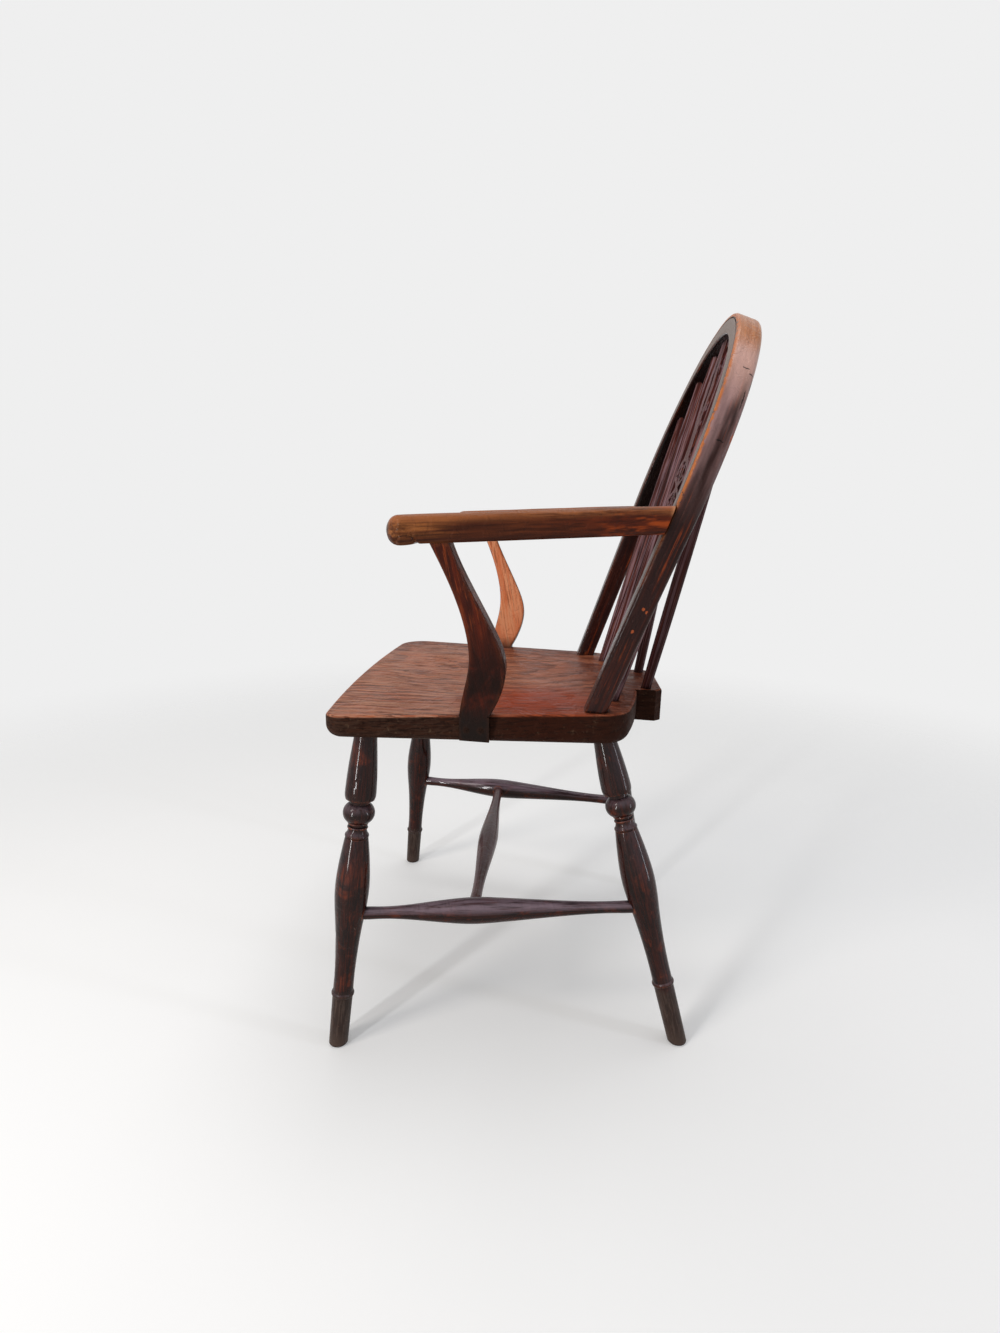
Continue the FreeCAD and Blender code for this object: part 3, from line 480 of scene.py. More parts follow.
        # painted reflection: a pale pink sheen on the upper outer face of the bow, palest towards the crown
        painted_sheen = wood.node("times", wood.node("ramp", height, 235 * MM, 360 * MM), outside)
        clouded_sheen = wood.node("times", painted_sheen, wood.streaks(22 * MM, 160 * MM, 0.4, 3.0, 0.3, 0.62))
        wood.paint(clouded_sheen, linear("#ac8886"), 0.85)
        wood.paint(wood.node("times", painted_sheen, wood.node("ramp", height, 360 * MM, 430 * MM)), linear("#dcae9f"), 0.75)
        crown = wood.node("times", wood.node("ramp", height, 428 * MM, 462 * MM), outside)
        wood.paint(crown, linear("#bd7339"), 0.95)
        wood.paint(wood.node("times", crown, fine), linear("#8a4719"), 0.5)
        dust = wood.node("most", wood.streaks(3 * MM, 40 * MM, 5.0), wood.node("ramp", height, 300 * MM, 480 * MM))
        front = wood.node("times", front, wood.node("ramp", height, 100 * MM, 250 * MM))
        wood.paint(front, linear("#4a3833"), 0.8)
        wood.paint(wood.node("times", front, dust), linear("#877468"), 0.55)
        reach = wood.node("times", wood.node("ramp", height, 170 * MM, 300 * MM),
                          wood.patches(9 * MM, 2.2, 0.38, 0.5))
        wood.paint(wood.node("times", wood.band(around, *ARRIS), reach), tones.bow_worn, 0.9)
        edge = wood.node("times", wood.edges(sizes.wear_reach), wood.streaks(5 * MM, 40 * MM, 4.0, 4.0, 0.5, 0.66))
        wood.paint(edge, linear("#a04a1e"), 0.6)
        # painted shade with grime: the inner face of the bow, above its lower legs, painted near black
        inner = wood.node("times", wood.node("ramp", around, *INSIDE), wood.node("ramp", height, 160 * MM, 270 * MM))
        wood.paint(inner, linear("#080404"), 0.95)
        for table, tone, depth in ((CHIPS, linear("#a8512a"), -0.0004), (CRACKS, linear("#0d0605"), -0.0008)):
            mark = self.marks(wood, uv, table)
            wood.paint(mark, tone, 0.85)
            wood.press(mark, depth)
        # painted shade with grime: joints and grooves of the bow painted near black
        shade_and_grime = wood.corners(sizes.shade_and_grime_reach)
        wood.paint(shade_and_grime, linear("#0b0605"), 0.9)
        wood.dull(fine, 0.12)
        wood.dull(front, 0.25)
        wood.dull(shade_and_grime, 0.3)
        wood.press(fine, -0.00018)
        wood.press(wood.patches(16 * MM, 7.0), 0.0006)
        return wood.wax(0.22, 0.06, 0.2)


# Arms, drawn for the sitter's left

ARM_TOP, ARM_RISE, ARM_THICK = 669.864 * MM, 0.052, 30 * MM
ARM_PLAN = ((168.4, 202, 24), (133.4, 207, 26), (63.4, 224, 31), (-16.6, 239, 38), (-101.6, 250, 45),
            (-181.6, 258, 56))
ARM_TIP, ARM_REAR = -157.1 * MM, 133.4 * MM
ARM_WAVER, ARM_WAVER_EVERY = 0.5 * MM, 45 * MM
SLANTED = 6                 # outlines that lean back to meet the bow's face
ARM_NOSE_R, HAND_HALF, HAND_X = 15.5 * MM, 26.5 * MM, 256 * MM
ARM_TOP_CORNER, ARM_LOW_CORNER = 8.5 * MM, 6.5 * MM
# the scroll under the hand: millimetres behind the tip, and above the arm's underside
SCROLL = ((12.5, 3.5), (15.5, 8), (20, 11.6), (25, 12.6), (29, 10.6), (31.2, 7), (32.6, 3), (33.2, -1))
SCROLL_HALF = 2.2           # half the cut's width
UNDERSIDE = 1.5             # this near to the underside counts as it
NICK, NICK_HALF = 33.5, 3.2
KNUCKLE, KNUCKLE_HALF, KNUCKLE_DROP = 20, 11, 0.9 * MM


def smooth_between(table, y):
    """The table's columns at y, eased with a Catmull-Rom curve."""
    rows = sorted(table)
    k = max(1, min(len(rows) - 2, next((i for i, r in enumerate(rows) if r[0] > y), len(rows) - 1) - 1))
    a, b = rows[k], rows[k + 1]
    before, after = rows[k - 1], rows[min(k + 2, len(rows) - 1)]
    t = (y - a[0]) / (b[0] - a[0])
    values = []
    for i in range(1, len(a)):
        m0 = (b[i] - before[i]) / (b[0] - before[0]) * (b[0] - a[0])
        m1 = (after[i] - a[i]) / (after[0] - a[0]) * (b[0] - a[0])
        values.append((2 * t ** 3 - 3 * t ** 2 + 1) * a[i] + (t ** 3 - 2 * t ** 2 + t) * m0
                      + (3 * t ** 2 - 2 * t ** 3) * b[i] + (t ** 3 - t ** 2) * m1)
    return values


def soft_box(half_wide, half_high, top_corner, low_corner):
    """A rounded rectangle with a fixed number of points, clockwise from the top right corner."""
    per_corner, per_side, points = 6, 4, []
    for cx, cz, corner, start in ((1, 1, top_corner, 90), (1, -1, low_corner, 0), (-1, -1, low_corner, -90),
                                  (-1, 1, top_corner, -180)):
        r = min(corner, 0.96 * half_wide, 0.96 * half_high)
        turn = [math.radians(start - 90 * i / per_corner) for i in range(per_corner + 1)]
        corner_points = [Vector((cx * (half_wide - r) + r * math.cos(a), cz * (half_high - r) + r * math.sin(a)))
                         for a in turn]
        if points:
            points += [points[-1].lerp(corner_points[0], k / per_side) for k in range(1, per_side)]
        points += corner_points
    return points + [points[-1].lerp(points[0], k / per_side) for k in range(1, per_side)]


def arm_outlines():
    """Outlines from the bow's face to the tip of the hand."""
    hand, outlines = ARM_TIP + 40 * MM, []
    ys = [ARM_REAR - (ARM_REAR - hand) * i / 40 for i in range(41)]
    ys += [hand - 1.25 * MM * i for i in range(1, 20)]
    ys += [ARM_TIP + ARM_NOSE_R * (1 - math.sin(math.radians(a)))
           for a in (4, 12, 20, 28, 36, 44, 52, 60, 67, 73, 78, 82)]
    for y in ys:
        middle, width = smooth_between(ARM_PLAN, y / MM)
        half, high = width / 2 * MM, ARM_THICK / 2
        middle *= MM
        ahead = ARM_TIP + HAND_HALF - y
        if ahead > 0:
            side = math.sqrt(max(HAND_HALF ** 2 - ahead ** 2, 0))
            half, middle = min(half, side), middle + (HAND_X - middle) * min(1, ahead / HAND_HALF)
        ahead = ARM_TIP + ARM_NOSE_R - y
        if ahead > 0:
            high = math.sqrt(max(ARM_NOSE_R ** 2 - ahead ** 2, (1.5 * MM) ** 2)) * ARM_THICK / 2 / ARM_NOSE_R
        top = ARM_TOP + ARM_RISE * y
        centre = top - ARM_THICK / 2
        box = soft_box(max(half, 4 * MM), high, ARM_TOP_CORNER, ARM_LOW_CORNER)
        outlines.append([(y, middle, centre, p) for p in box])
    return outlines


def scroll_depth(behind, above):
    """How deep the scroll's cut is there, from 0 to 1."""
    here = Vector((behind, above))
    best = SCROLL_HALF
    for a, b in zip(SCROLL, SCROLL[1:]):
        a, b = Vector(a), Vector(b)
        t = max(0, min(1, (here - a).dot(b - a) / (b - a).length_squared))
        best = min(best, (here - a.lerp(b, t)).length)
    return 1 - (best / SCROLL_HALF) ** 2


class CHAIR_OT_arms(bpy.types.Operator):
    """Shape the two arms, flared to the hand, with a scroll cut under each knuckle"""
    bl_idname = "chair.arms"
    bl_label = "Arms"

    def execute(self, context):
        sizes, tones = chosen(context)
        for side, name in ((1, "left"), (-1, "right")):
            outlines = []
            for outline in arm_outlines():
                ring = []
                for y, middle, centre, p in outline:
                    x, z = middle + p.x, centre + p.y
                    behind, above = (y - ARM_TIP) / MM, (p.y + ARM_THICK / 2) / MM
                    cut = scroll_depth(behind, above) * sizes.scroll_depth
                    if abs(p.x) > 4 * MM and above > UNDERSIDE:
                        x -= math.copysign(cut, p.x)
                    elif above <= UNDERSIDE:
                        z += max(0.0, 1 - abs(behind - NICK) / NICK_HALF) * sizes.scroll_depth * 1.1
                        z -= max(0.0, 1 - ((behind - KNUCKLE) / KNUCKLE_HALF) ** 2) * KNUCKLE_DROP
                    drift = noise.noise(Vector((x, y, z)) / ARM_WAVER_EVERY) * ARM_WAVER
                    place = Vector((x + drift, y, z + drift * 0.6))
                    if len(outlines) < SLANTED:
                        slant = BOW_FRONT_Y + math.tan(BOW_TILT) * (place.z - SEAT_TOP)
                        place.y += (slant - ARM_REAR) * (1 - len(outlines) / SLANTED)
                    ring.append(Vector((side * place.x, place.y, place.z)))
                outlines.append(ring)
            arm = sweep("arm_rest_" + name, outlines)
            seated(arm, "arm", "arm_" + name)
            dress(arm, self.finish(sizes, tones, name, 0.0 if side > 0 else 3.3))
        return {"FINISHED"}

    def finish(self, sizes, tones, name, seed):
        """Waxed ash arm: open grain, rubbed and painted with a highlight along the top, dark at the hand's end grain
        and underneath.
        """
        wood = Finish("waxed_arm_" + name, tones.arm)
        wood.lay_along(*grain_of(bpy.data.objects["arm_rest_" + name]))
        fine = wood.streaks(2.6 * MM, 70 * MM, seed)
        figure = wood.streaks(7 * MM, 110 * MM, seed + 1.1, 5.0)
        z = wood.node("dot", wood.place, (0, -ARM_RISE, 1))
        y = wood.node("dot", wood.place, (0, 1, 0))
        low = wood.node("ramp", z, ARM_TOP - 17 * MM, ARM_TOP - 30 * MM)
        rise = wood.node("ramp", z, ARM_TOP - 12 * MM, ARM_TOP - 3 * MM)
        rear = wood.node("ramp", y, -30 * MM, 100 * MM)
        wood.paint(figure, linear("#6b3519"), 0.6)
        wood.paint(wood.node("times", wood.node("ramp", y, -60 * MM, -140 * MM), figure), linear("#b06e3c"), 0.7)
        wood.paint(wood.node("times", rear, wood.node("ramp", rise, 1, 0)), linear("#561c0c"), 0.7)
        wood.paint(low, linear("#3a1a0e"), 0.7)
        wood.paint(fine, linear("#220d07"), 0.7)
        patch = wood.node("times", wood.node("ramp", y, 50 * MM, 90 * MM),
                          wood.streaks(9 * MM, 50 * MM, seed + 0.5, 3.0, 0.5, 0.68))
        wood.paint(patch, linear("#a8481a"), 0.7)
        # rubbed wood and painted highlight: the top of the arm painted orange-tan
        rubbed_and_lit = wood.node("times", rise, wood.node("most", wood.streaks(5 * MM, 80 * MM, seed + 4),
                                                    wood.node("ramp", y, 100 * MM, -120 * MM)))
        wood.paint(rubbed_and_lit, linear("#a8643a"), 0.7)
        # wear and painted highlight: the arrises along the top painted pale
        worn = wood.node("times", wood.edges(sizes.wear_reach),
                         wood.node("ramp", z, ARM_TOP - 14 * MM, ARM_TOP - 4 * MM))
        wood.paint(worn, tones.arm_wear_and_highlight, 0.75)
        end = wood.node("ramp", y, ARM_TIP + 7 * MM, ARM_TIP + 2 * MM)
        wood.paint(end, linear("#2c1a16"), 0.85)
        # painted shade with grime: joints and grooves of the arm painted near black
        shade_and_grime = wood.corners(sizes.shade_and_grime_reach)
        wood.paint(shade_and_grime, linear("#150906"), 0.85)
        wood.dull(fine, 0.14)
        wood.dull(shade_and_grime, 0.3)
        wood.press(fine, -0.0003)
        wood.press(wood.patches(14 * MM, seed + 6), 0.0005)
        return wood.wax(0.26, 0.06, 0.14)


class CHAIR_OT_seat(bpy.types.Operator):
    """Finish the elm seat: figure from front to back, a painted sheen over the front and middle, black old polish
    round the edge
    """
    bl_idname = "chair.seat"
    bl_label = "Seat"

    def execute(self, context):
        dress(frame["nodes"]["seat"], self.finish(*chosen(context)))
        return {"FINISHED"}

    def finish(self, sizes, tones):
        """Elm, adzed and scraped, then waxed for a century: wide wavering figure, dark pores, soft shine."""
        wood = Finish("waxed_elm", tones.seat)
        wood.lay_along(Vector((0, 0, SEAT_TOP)), Vector((0, 1, 0)))
        wander = wood.node("ShaderNodeTexNoise", {"Vector": wood.place, "Scale": 6, "Detail": 2}, out="Color")
        bent = wood.node("ShaderNodeVectorMath", {0: wander, 1: (0.05, 0.05, 0.03), 2: wood.place},
                         operation="MULTIPLY_ADD")
        # rings round the tree's heart, which lay under the board and a little askew
        heart = wood.node("ShaderNodeMapping", {"Vector": bent, "Location": (0.03, 0, -0.16),
                                                "Rotation": (math.radians(4), 0, math.radians(3))})
        rings = wood.node("ShaderNodeTexWave", {"Vector": heart, "Scale": 2 * math.pi / (20 * sizes.ring_width),
                                                "Distortion": 2.2, "Detail": 3, "Detail Scale": 2.0},
                          out="Fac", wave_type="RINGS", rings_direction="Y", wave_profile="SAW")
        figure = wood.node("ramp", rings, 0.3, 0.95)
        fine = wood.streaks(2.4 * MM, 55 * MM, 0.2, 4.0, 0.42, 0.62)
        # the real pores are a tenth of this and wouldn't show in a picture
        pores = wood.streaks(2.2 * MM, 40 * MM, 2.9, 3.0, 0.53, 0.6)
        up = wood.node("dot", wood.normal, (0, 0, 1))
        top = wood.node("ramp", up, 0.55, 0.97)
        x, y = wood.node("dot", wood.place, (1, 0, 0)), wood.node("dot", wood.place, (0, 1, 0))
        wood.paint(wood.patches(110 * MM, 0.9, 0.4, 0.6), linear("#b06a4a"), 0.6)
        wood.paint(figure, linear("#532518"), 0.72)
        wood.paint(fine, linear("#ad7760"), 0.4)
        # painted reflection: a pale sheen, streaked with fine grain, over the front and middle of the seat
        front = wood.node("times", wood.node("ramp", y, 40 * MM, -170 * MM), wood.patches(90 * MM, 3.0, 0.2, 0.55))
        wood.paint(wood.node("times", front, fine), tones.seat_sheen, 0.8)
        rear = wood.node("most", wood.node("ramp", y, 0, 130 * MM), wood.node("ramp", x, -100 * MM, -200 * MM))
        wood.paint(wood.node("times", rear, wood.patches(60 * MM, 6.1, 0.3, 0.6)), linear("#55200f"), 0.7)
        # a deep red patch by the sitter's left hip
        away = wood.node("ShaderNodeVectorMath", wood.place, (140 * MM, 0, SEAT_TOP), operation="DISTANCE")
        wood.paint(wood.node("ramp", away, 120 * MM, 30 * MM), linear("#94340c"), 0.95)
        wood.paint(pores, linear("#35150d"), 0.72)
        wood.paint(wood.node("times", wood.node("ramp", y, 80 * MM, 140 * MM), top), linear("#4c1d12"), 0.5)
        side = wood.node("ramp", up, 0.75, 0.3)
        wood.paint(side, tones.seat_edge, 0.93)
        flecks = wood.node("times", side, wood.patches(6 * MM, 4.4, 0.6, 0.7, 5.0))
        wood.paint(flecks, linear("#5a4636"), 0.5)
        scratches = wood.node("times", side, wood.streaks(2.2 * MM, 30 * MM, 7.1, 5.0, 0.6, 0.72))
        wood.paint(scratches, linear("#5f3522"), 0.4)
        rear_side = wood.node("times", side, wood.node("ramp", y, -80 * MM, 50 * MM))
        wood.paint(wood.node("times", rear_side, wood.streaks(5 * MM, 60 * MM, 6.0)), linear("#2c140c"), 0.7)
        worn = wood.node("times", wood.edges(sizes.wear_reach), wood.streaks(6 * MM, 40 * MM, 8.0, 4.0, 0.35, 0.55))
        wood.paint(wood.node("times", worn, wood.node("ramp", up, 0.3, 0.8)), linear("#8d5340"), 0.6)
        # painted shade with grime: joints and sockets of the seat painted near black
        shade_and_grime = wood.corners(sizes.shade_and_grime_reach)
        wood.paint(shade_and_grime, linear("#120806"), 0.9)
        wood.dull(fine, 0.1)
        wood.dull(side, 0.2)
        wood.dull(wood.patches(50 * MM, 5.5), 0.1)
        wood.press(pores, -0.00025)
        wood.press(figure, -0.0002)
        wood.press(wood.patches(28 * MM, 9.0), 0.0008)
        return wood.wax(0.34, 0.07)


def turned_beech(name, piece, sizes, tones, seed, feet=True, stain=None):
    """Beech off the lathe: straight fibre, near-black stain gone red-brown where it is thin, scuffed feet."""
    wood = Finish(name, stain or tones.leg)
    wood.lay_along(*grain_of(piece))
    fine = wood.streaks(sizes.fibre_width, sizes.fibre_length, seed, 4.0, 0.46, 0.66)
    broad = wood.streaks(7 * MM, 90 * MM, seed + 2.0, 4.0, 0.44, 0.62)
    wood.paint(broad, linear("#2c0f09"), 0.4 if stain else 0.85)
    wood.paint(fine, tones.leg_worn, 0.42)
    glow = wood.node("times", wood.patches(28 * MM, seed + 0.6, 0.52, 0.68),
                     wood.streaks(3 * MM, 45 * MM, seed + 4.2))
    wood.paint(glow, linear("#7c3216"), 0.42)
    worn = wood.node("times", wood.edges(sizes.wear_reach * 0.7), wood.patches(10 * MM, seed + 1.9, 0.42, 0.56))
    wood.paint(worn, linear("#8d4a2c"), 0.5)
    # painted reflection: a purple-grey sky sheen streaked over upward-facing surfaces, strongest on the side
    # stretchers
    upward = wood.node("ramp", wood.node("dot", wood.normal, (0, 0, 1)), 0.05, 0.75)
    painted_sheen_streaks = wood.node("times", upward, wood.streaks(4 * MM, 90 * MM, seed + 7.7, 3.0, 0.2, 0.6))
    wood.paint(painted_sheen_streaks, linear("#83707a"), 0.3 if feet or stain else 0.85)
    wood.dull(painted_sheen_streaks, 0.15)
    if feet:
        z = wood.node("dot", wood.place, (0, 0, 1))
        foot = wood.node("ramp", z, 78 * MM, 64 * MM)
        wood.paint(foot, linear("#2e211b"), 0.8)
        scuffed = wood.node("most", wood.streaks(2.4 * MM, 25 * MM, seed + 5.0, 5.0, 0.45, 0.6),
                            wood.node("ramp", z, 30 * MM, 0))
        scuffs = wood.node("times", foot, scuffed)
        wood.paint(scuffs, tones.foot, 0.7)
        wood.dull(foot, 0.3)
    specks = wood.patches(4 * MM, seed + 3.0, 0.68, 0.74, 5.0)
    wood.paint(specks, linear("#8d7466"), 0.35)
    # painted shade with grime: joints, grooves and the floor contact painted near black
    shade_and_grime = wood.corners(sizes.shade_and_grime_reach)
    wood.paint(shade_and_grime, linear("#080404"), 0.9)
    wood.dull(fine, 0.08)
    wood.dull(shade_and_grime, 0.25)
    wood.press(fine, -0.00008)
    wood.press(wood.patches(11 * MM, seed + 8.0), 0.0005)
    return wood.wax(0.22, 0.04, 0.36)


class CHAIR_OT_legs(bpy.types.Operator):
    """Finish the four turned legs, with scuffed feet"""
    bl_idname = "chair.legs"
    bl_label = "Legs"

    def execute(self, context):
        sizes, tones = chosen(context)
        for i, name in enumerate(sorted(names("front_leg") + names("back_leg"))):
            piece = frame["nodes"][name]
            dress(piece, turned_beech("stained_beech_" + name, piece, sizes, tones, 1.3 * i))
        return {"FINISHED"}


class CHAIR_OT_stretchers(bpy.types.Operator):
    """Finish the two side stretchers and the one between them"""
    bl_idname = "chair.stretchers"
    bl_label = "Stretchers"

    def execute(self, context):
        sizes, tones = chosen(context)
        for i, name in enumerate(sorted(names("side_stretcher") + names("cross_stretcher"))):
            piece = frame["nodes"][name]
            stain = linear("#4f2c21") if name == "cross_stretcher" else None
            dress(piece, turned_beech("stained_beech_" + name, piece, sizes, tones, 6.1 + 1.7 * i, False, stain))
        return {"FINISHED"}


def back_beech(name, piece, sizes, tones, seed, pale=1.0):
    """Slim beech of the back: maroon stain, with a painted grey and pink sheen streaked along the fibre."""
    wood = Finish(name, tones.stick)
    wood.lay_along(*grain_of(piece))
    fine = wood.streaks(1.8 * MM, 120 * MM, seed, 4.0, 0.42, 0.6)
    painted_sheen = wood.streaks(2.6 * MM, 160 * MM, seed + 4.0, 3.0, 0.48, 0.6)
    rust = wood.streaks(1.6 * MM, 90 * MM, seed + 7.0, 3.0, 0.55, 0.64)
    wood.paint(fine, linear("#5a2620"), 0.7 * pale)
    # painted sheen: pale grey-pink streaks along the fibre, fainter on the braces
    wood.paint(painted_sheen, tones.stick_sheen, 0.75 * pale)
    wood.paint(rust, linear("#8a4a30"), 0.45 * pale)
    # painted shade with grime: the sticks painted near black where they meet the seat, bow and each other
    shade_and_grime = wood.corners(sizes.shade_and_grime_reach * 1.6)
    wood.paint(shade_and_grime, linear("#080404"), 0.9)
    wood.dull(painted_sheen, 0.2)
    wood.press(fine, -0.00015)
    return wood.wax(0.5, 0.08, 0.04)


class CHAIR_OT_back(bpy.types.Operator):
    """Finish the back sticks, the braces and the wheel splat"""
    bl_idname = "chair.back"
    bl_label = "Sticks and splat"

    def execute(self, context):
        sizes, tones = chosen(context)
        for i, name in enumerate(sorted(names("back_stick") + names("brace_stick") + names("wheel_splat"))):
            piece = frame["nodes"][name]
            pale = 0.35 if name.startswith("brace") else 1.0
            dress(piece, back_beech("waxed_beech_" + name, piece, sizes, tones, 0.9 * i, pale))
        return {"FINISHED"}


class CHAIR_OT_supports(bpy.types.Operator):
    """Finish the two sawn arm supports"""
    bl_idname = "chair.supports"
    bl_label = "Arm supports"

    def execute(self, context):
        sizes, tones = chosen(context)
        for name, seed, inwards in (("arm_support_left", 0, -1), ("arm_support_right", 5, 1)):
            piece = frame["nodes"][name]
            dress(piece, self.finish(name, piece, sizes, tones, seed, inwards))
        return {"FINISHED"}

    def finish(self, name, piece, sizes, tones, seed, inwards):
        """Sawn ash board: upright grain, painted light on the inner face towards the sitter, dark outside and black
        at the seat.
        """
        wood = Finish("sawn_ash_" + name, tones.support)
        wood.lay_along(*grain_of(piece))
        fine = wood.streaks(2.4 * MM, 55 * MM, seed)
        broad = wood.streaks(8 * MM, 90 * MM, seed + 1.0)
        z = wood.node("dot", wood.place, (0, 0, 1))
        wood.paint(broad, linear("#5e1f0d"), 0.7)
        # painted light: the inner face of each support painted pale orange as if lit, with paler broad streaks and
        # dark grain on it
        rubbed_and_lit = wood.node("ramp", wood.node("dot", wood.normal, (inwards, 0, 0)), 0.2, 0.7)
        wood.paint(rubbed_and_lit, linear("#d87b50"), 0.92)
        wood.paint(wood.node("times", rubbed_and_lit, broad), linear("#e2a87f"), 0.55)
        dark = wood.streaks(2.6 * MM, 50 * MM, seed + 9.0, 4.0, 0.55, 0.66)
        wood.paint(wood.node("times", rubbed_and_lit, dark), linear("#6f3a26"), 0.6)
        wood.paint(wood.node("times", fine, wood.node("ramp", rubbed_and_lit, 1.3, 0.0)), linear("#260c07"), 0.55)
        rust = wood.node("times", wood.streaks(3 * MM, 40 * MM, seed + 4.4, 4.0, 0.5, 0.66),
                         wood.node("ramp", z, 500 * MM, 600 * MM))
        wood.paint(rust, linear("#96421c"), 0.6)
        low = wood.node("times", wood.node("ramp", z, 560 * MM, 470 * MM),
                        wood.patches(40 * MM, seed + 2, 0.25, 0.5))
        wood.paint(wood.node("times", low, wood.node("ramp", rubbed_and_lit, 1, 0)), linear("#0e0604"), 0.9)
        worn = wood.node("times", wood.edges(sizes.wear_reach),
                         wood.streaks(6 * MM, 40 * MM, seed + 3, 4.0, 0.35, 0.55))
        wood.paint(worn, linear("#8e4a28"), 0.5)
        below = wood.node("ramp", z, SEAT_TOP + 25 * MM, SEAT_TOP - 4 * MM)
        wood.paint(below, tones.seat_edge, 0.9)
        # painted shade with grime: joints of the support painted near black
        shade_and_grime = wood.corners(sizes.shade_and_grime_reach)
        wood.paint(shade_and_grime, linear("#0c0605"), 0.9)
        wood.dull(fine, 0.12)
        wood.press(fine, -0.0002)
        wood.press(wood.patches(13 * MM, seed + 7), 0.0005)
        return wood.wax(0.27, 0.05, 0.14)


class CHAIR_OT_fastenings(bpy.types.Operator):
    """Finish the wedges in the bow's feet and the pegs through the supports"""
    bl_idname = "chair.fastenings"
    bl_label = "Wedges and pegs"

    def execute(self, context):
        sizes = context.scene.chair_sizes
        for name, direction in (("bow_wedges", Vector((0, 0, 1))), ("support_pegs", Vector((1, 0, 0)))):
            dress(frame["nodes"][name], self.finish("cleft_oak_" + name, sizes, direction))
        return {"FINISHED"}

    def finish(self, name, sizes, direction):
        """Cleft oak, gone almost black under old polish: only its short rays still show."""
        wood = Finish(name, linear("#120805"))
        wood.lay_along(Vector((0, 0, SEAT_TOP)), direction)
        rays = wood.streaks(1.2 * MM, 9 * MM, 2.0)
        wood.paint(rays, linear("#2a160d"), 0.7)
        # painted shade with grime: the wedges and pegs painted darker where they sink into their holes
        wood.paint(wood.corners(sizes.shade_and_grime_reach), linear("#0c0605"), 0.8)
        wood.press(rays, -0.0002)
        return wood.wax(0.4, 0.1)


# Stage

PAPER_LIFT = 0.22           # light that the paper adds to itself for the eye alone
WORLD_LIGHT = 0.34
LAMP_AIM = Vector((0, 0, 0.45))
# name, place, width and height in metres, watts, tint
LAMPS = (("key", (1.5, -1.9, 2.2), 0.6, 1.0, 20, "#fff8f0"),
         ("strip", (1.95, -1.35, 0.64), 0.12, 1.2, 24, "#ffffff"),
         ("edge", (0.7, 2.3, 0.64), 0.2, 1.2, 10, "#eef3ff"),
         ("top", (-0.4, 0.1, 2.7), 1.4, 1.4, 18, "#ffffff"))
CAMERA_PLACE = Vector((0.98774, 0.01930, 0.67421))
CAMERA_RIGHT = Vector((-0.08014, 0.99658, 0.02017))
CAMERA_AHEAD = Vector((-0.97169, -0.07360, -0.22447))
CAMERA_SENSOR, CAMERA_LENS = 36.0, 18.945


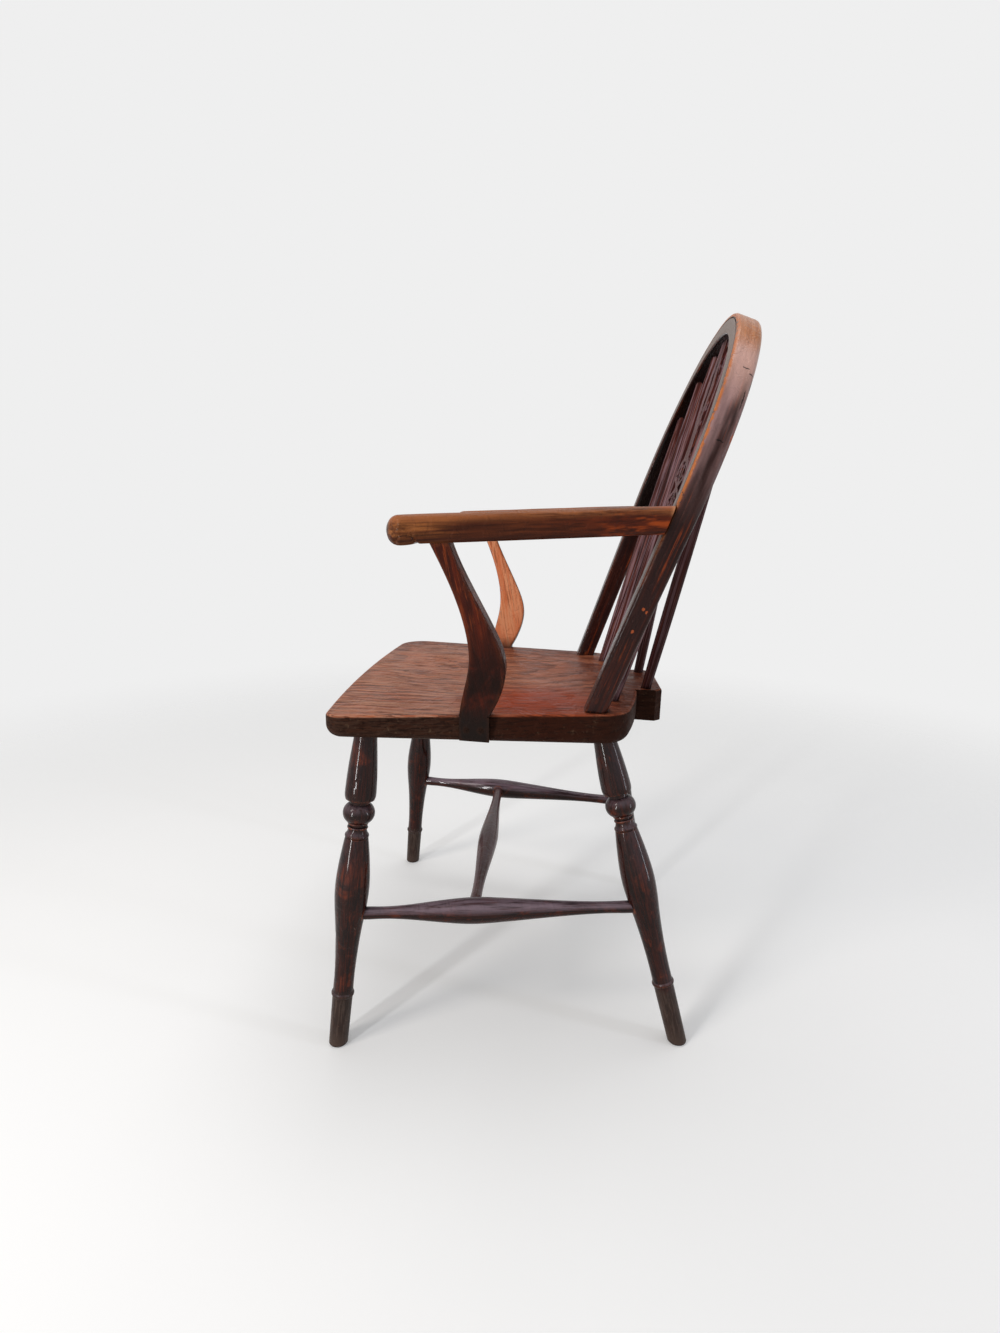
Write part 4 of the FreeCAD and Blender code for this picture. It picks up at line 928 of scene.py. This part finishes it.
class CHAIR_OT_stage(bpy.types.Operator):
    """Set the pale floor, the soft lamps, the world and the camera"""
    bl_idname = "chair.stage"
    bl_label = "Stage"

    def execute(self, context):
        tones = context.scene.chair_colours
        deselect()
        bpy.ops.mesh.primitive_circle_add(vertices=96, radius=4.0, fill_type="NGON", location=(0, 0, -0.0005))
        floor = bpy.context.object
        floor.name = floor.data.name = "studio_floor"
        dress(floor, self.floor_paint(tones))
        self.world(context.scene, tones)
        for name, place, wide, high, watts, tint in LAMPS:
            self.lamp(name, Vector(place), wide, high, watts, tint)
        self.camera(context.scene)
        context.scene.view_settings.view_transform = "Standard"
        return {"FINISHED"}

    def lamp(self, name, place, wide, high, watts, tint):
        deselect()
        bpy.ops.object.light_add(type="AREA", location=place)
        lamp = bpy.context.object
        lamp.name = "lamp_" + name
        lamp.data.shape = "RECTANGLE"
        lamp.data.size, lamp.data.size_y = wide, high
        lamp.data.energy, lamp.data.color = watts, linear(tint)
        lamp.rotation_mode = "QUATERNION"
        lamp.rotation_quaternion = (LAMP_AIM - place).to_track_quat("-Z", "Y")
        lamp.visible_camera = False

    def seen(self, tree):
        """1 for rays that come from the camera, also by way of a gloss or glass."""
        path = add(tree, "ShaderNodeLightPath", out=None)
        sight = add(tree, "most", path.outputs["Is Camera Ray"], path.outputs["Is Glossy Ray"])
        return add(tree, "most", sight, path.outputs["Is Transmission Ray"])

    def world(self, scene, tones):
        world = bpy.data.worlds.new("plain_studio")
        world.use_nodes = True
        tree = world.node_tree
        tree.nodes.clear()
        scene.world = world
        light = add(tree, "ShaderNodeBackground", {"Color": (1, 1, 1, 1), "Strength": WORLD_LIGHT})
        backdrop = add(tree, "ShaderNodeBackground", {"Color": (*tones.floor, 1), "Strength": 1.0})
        sky = add(tree, "ShaderNodeMixShader", {0: self.seen(tree), 1: light, 2: backdrop})
        add(tree, "ShaderNodeOutputWorld", {"Surface": sky}, out=None)

    def floor_paint(self, tones):
        """Matt paper whose far edge thins out into the backdrop."""
        paint = bpy.data.materials.new("matt_paper")
        paint.use_nodes = True
        tree = paint.node_tree
        tree.nodes.clear()
        place = add(tree, "ShaderNodeTexCoord", out="Object")
        fibre = add(tree, "ShaderNodeTexNoise", {"Vector": place, "Scale": 400})
        share = add(tree, "times", fibre, 0.04)
        tone = add(tree, "ShaderNodeMix", {FACTOR: share, UNDER: (*tones.floor, 1), OVER: (0.8, 0.8, 0.8, 1)},
                   out=MIXED, data_type="RGBA")
        matt = add(tree, "ShaderNodeBsdfDiffuse", {"Color": tone})
        away = add(tree, "ShaderNodeVectorMath", {0: place}, operation="LENGTH")
        clear = add(tree, "ShaderNodeBsdfTransparent")
        thin = add(tree, "ramp", away, 0.7, 2.2)
        # to the eye the paper is a little brighter than the light that it throws back on the chair
        lift = add(tree, "ShaderNodeEmission", {"Color": (*tones.floor, 1),
                                                "Strength": add(tree, "times", self.seen(tree), PAPER_LIFT)})
        paper = add(tree, "ShaderNodeAddShader", matt, lift)
        skin = add(tree, "ShaderNodeMixShader", thin, paper, clear)
        add(tree, "ShaderNodeOutputMaterial", {"Surface": skin}, out=None)
        return paint

    def camera(self, scene):
        deselect()
        bpy.ops.object.camera_add()
        camera = bpy.context.object
        camera.name = "photo_camera"
        camera.data.sensor_width, camera.data.lens = CAMERA_SENSOR, CAMERA_LENS
        right, ahead = CAMERA_RIGHT.normalized(), CAMERA_AHEAD.normalized()
        turn = Matrix((right, right.cross(ahead).normalized(), -ahead)).transposed()
        camera.matrix_world = Matrix.Translation(CAMERA_PLACE) @ turn.to_4x4()
        camera.data.clip_start = 0.01
        scene.camera = camera


class CHAIR_PT_panel(bpy.types.Panel):
    """The chair's sizes and colours, and its steps in order"""
    bl_label = "Wheelback Armchair"
    bl_space_type = "VIEW_3D"
    bl_region_type = "UI"
    bl_category = "Chair"

    def draw(self, context):
        for group in (context.scene.chair_sizes, context.scene.chair_colours):
            box = self.layout.box()
            for name in group.bl_rna.properties.keys():
                if name not in ("rna_type", "name"):
                    box.prop(group, name)
        for operator in OPERATORS:
            self.layout.operator(operator.bl_idname)


OPERATORS = (CHAIR_OT_seat, CHAIR_OT_legs, CHAIR_OT_stretchers, CHAIR_OT_bow, CHAIR_OT_back, CHAIR_OT_arms,
             CHAIR_OT_supports, CHAIR_OT_fastenings, CHAIR_OT_stage)
CLASSES = (ChairSizes, ChairColours) + OPERATORS + (CHAIR_PT_panel,)


def register():
    for part in CLASSES:
        bpy.utils.register_class(part)
    bpy.types.Scene.chair_sizes = PointerProperty(type=ChairSizes)
    bpy.types.Scene.chair_colours = PointerProperty(type=ChairColours)


def unregister():
    del bpy.types.Scene.chair_colours
    del bpy.types.Scene.chair_sizes
    for part in reversed(CLASSES):
        bpy.utils.unregister_class(part)


def main():
    register()
    bpy.ops.chair.seat()
    bpy.ops.chair.legs()
    bpy.ops.chair.stretchers()
    bpy.ops.chair.bow()
    bpy.ops.chair.back()
    bpy.ops.chair.arms()
    bpy.ops.chair.supports()
    bpy.ops.chair.fastenings()
    bpy.ops.chair.stage()


if __name__ == "__main__":
    main()
